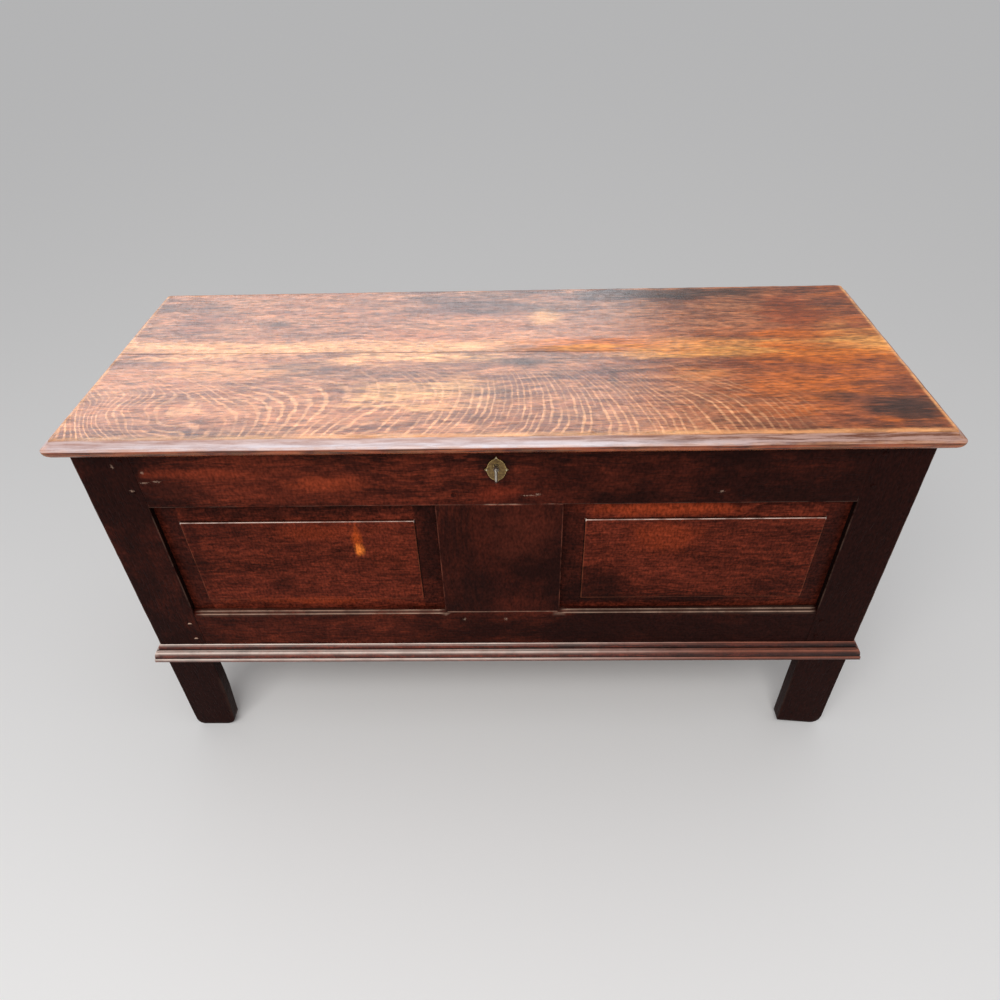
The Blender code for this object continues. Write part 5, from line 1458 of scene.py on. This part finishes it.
class COFFER_OT_stage(PieceOperator):
    """Set the floor, the lamps, the world and the camera"""

    bl_idname = "coffer.stage"
    bl_label = "Stage"

    EYE = Vector((0.0259, -0.9749, 1.1713))
    PITCH, YAW, ROLL = math.radians(39.65), math.radians(-1.80), math.radians(-1.67)
    LENS, SENSOR = 26.68, 36.0
    FLOOR_SIZE, FLOOR_DROP = 80.0, 0.0005
    SKY = (0.53, 0.53, 0.535, 1.0)

    def camera(self):
        lens = bpy.data.cameras.new("view")
        lens.sensor_width, lens.sensor_fit, lens.lens = self.SENSOR, "HORIZONTAL", self.LENS
        lens.clip_end = 200.0
        view = bpy.data.objects.new("view", lens)
        bpy.context.scene.collection.objects.link(view)
        level = math.cos(self.PITCH)
        ahead = Vector((math.sin(self.YAW) * level, math.cos(self.YAW) * level,
                        -math.sin(self.PITCH)))
        right = Vector((math.cos(self.YAW), -math.sin(self.YAW), 0.0))
        up = right.cross(ahead)
        turned = math.cos(self.ROLL) * right + math.sin(self.ROLL) * up
        raised = -math.sin(self.ROLL) * right + math.cos(self.ROLL) * up
        view.matrix_world = Matrix((turned, raised, -ahead)).transposed().to_4x4()
        view.matrix_world.translation = self.EYE
        bpy.context.scene.camera = view

    def lamp(self, name, place, aim, size, power, colour):
        light = bpy.data.lights.new(name, "AREA")
        light.shape, light.size, light.size_y = "RECTANGLE", *size
        light.energy, light.color = power, colour
        made = bpy.data.objects.new(name, light)
        bpy.context.scene.collection.objects.link(made)
        made.location = place
        made.rotation_euler = (Vector(aim) - Vector(place)).to_track_quat("-Z", "Y").to_euler()
        made.visible_camera = False
        return made

    def floor(self, colours):
        """A pale floor painted by its angle below the eye, lighter in front, darker beside and
        behind the coffer and lighter far off: painted shading in place of the light's fall-off.
        """
        made = add("studio_floor", bpy.ops.mesh.primitive_plane_add, size=self.FLOOR_SIZE,
                   location=(0, 0, -self.FLOOR_DROP))
        pale = Finish("studio floor")
        away = (pale.y - self.EYE.y).most(0.05)
        dip = pale.math("ARCTANGENT", self.EYE.z / away)
        tone = pale.mix(dip.fade(0.05, 0.5), colours.floor_far[:], colours.floor_middle[:])
        tone = pale.mix(dip.fade(0.5, 1.5), tone, colours.floor_near[:])
        pale.set(base_color=tone, roughness=0.9, specular_ior_level=0.0)
        made.data.materials.append(pale.material)

    def make(self, sizes, colours):
        window = self.lamp("window behind", place=(-1.4, 4.6, 3.8), aim=(-0.1, 0, 0.6),
                           size=(5.6, 3.0), power=215.0, colour=(0.86, 0.93, 1.0))
        self.lamp("overhead", place=(-0.5, -2.1, 2.9), aim=(0, -0.1, 0.4),
                  size=(2.4, 1.2), power=54.0, colour=(1.0, 0.98, 0.96))

        # The window lights what is there before the floor is: the coffer alone
        lit = bpy.data.collections.new("lit by the window")
        for made in bpy.context.scene.objects:
            if made.type == "MESH":
                lit.objects.link(made)
        window.light_linking.receiver_collection = lit
        self.floor(colours)
        self.camera()
        world = bpy.data.worlds.new("studio")
        world.use_nodes = True
        world.node_tree.nodes["Background"].inputs["Color"].default_value = self.SKY
        bpy.context.scene.world = world
        bpy.context.scene.view_settings.view_transform = "Standard"


class COFFER_PT_sidebar(bpy.types.Panel):
    """Steps, sizes and colours of the coffer."""

    bl_label = "Coffer"
    bl_idname = "COFFER_PT_sidebar"
    bl_space_type = "VIEW_3D"
    bl_region_type = "UI"
    bl_category = "Coffer"

    def draw(self, context):
        for step in STEPS:
            self.layout.operator(step.bl_idname)
        for group in (context.scene.coffer_sizes, context.scene.coffer_colours):
            box = self.layout.box()
            for name in group.__annotations__:
                box.prop(group, name)


STEPS = (
    COFFER_OT_lid,
    COFFER_OT_frames,
    COFFER_OT_panels,
    COFFER_OT_moulding,
    COFFER_OT_floor,
    COFFER_OT_pegs,
    COFFER_OT_ironwork,
    COFFER_OT_escutcheon,
    COFFER_OT_key,
    COFFER_OT_stage,
)
CLASSES = (CofferSizes, CofferColours, *STEPS, COFFER_PT_sidebar)


def register():
    for item in CLASSES:
        bpy.utils.register_class(item)
    bpy.types.Scene.coffer_sizes = bpy.props.PointerProperty(type=CofferSizes)
    bpy.types.Scene.coffer_colours = bpy.props.PointerProperty(type=CofferColours)


def unregister():
    del bpy.types.Scene.coffer_colours
    del bpy.types.Scene.coffer_sizes
    for item in reversed(CLASSES):
        bpy.utils.unregister_class(item)


def main():
    register()
    bpy.ops.coffer.lid()
    bpy.ops.coffer.frames()
    bpy.ops.coffer.panels()
    bpy.ops.coffer.moulding()
    bpy.ops.coffer.floor()
    bpy.ops.coffer.pegs()
    bpy.ops.coffer.ironwork()
    bpy.ops.coffer.escutcheon()
    bpy.ops.coffer.key()
    bpy.ops.coffer.stage()


if __name__ == "__main__":
    main()
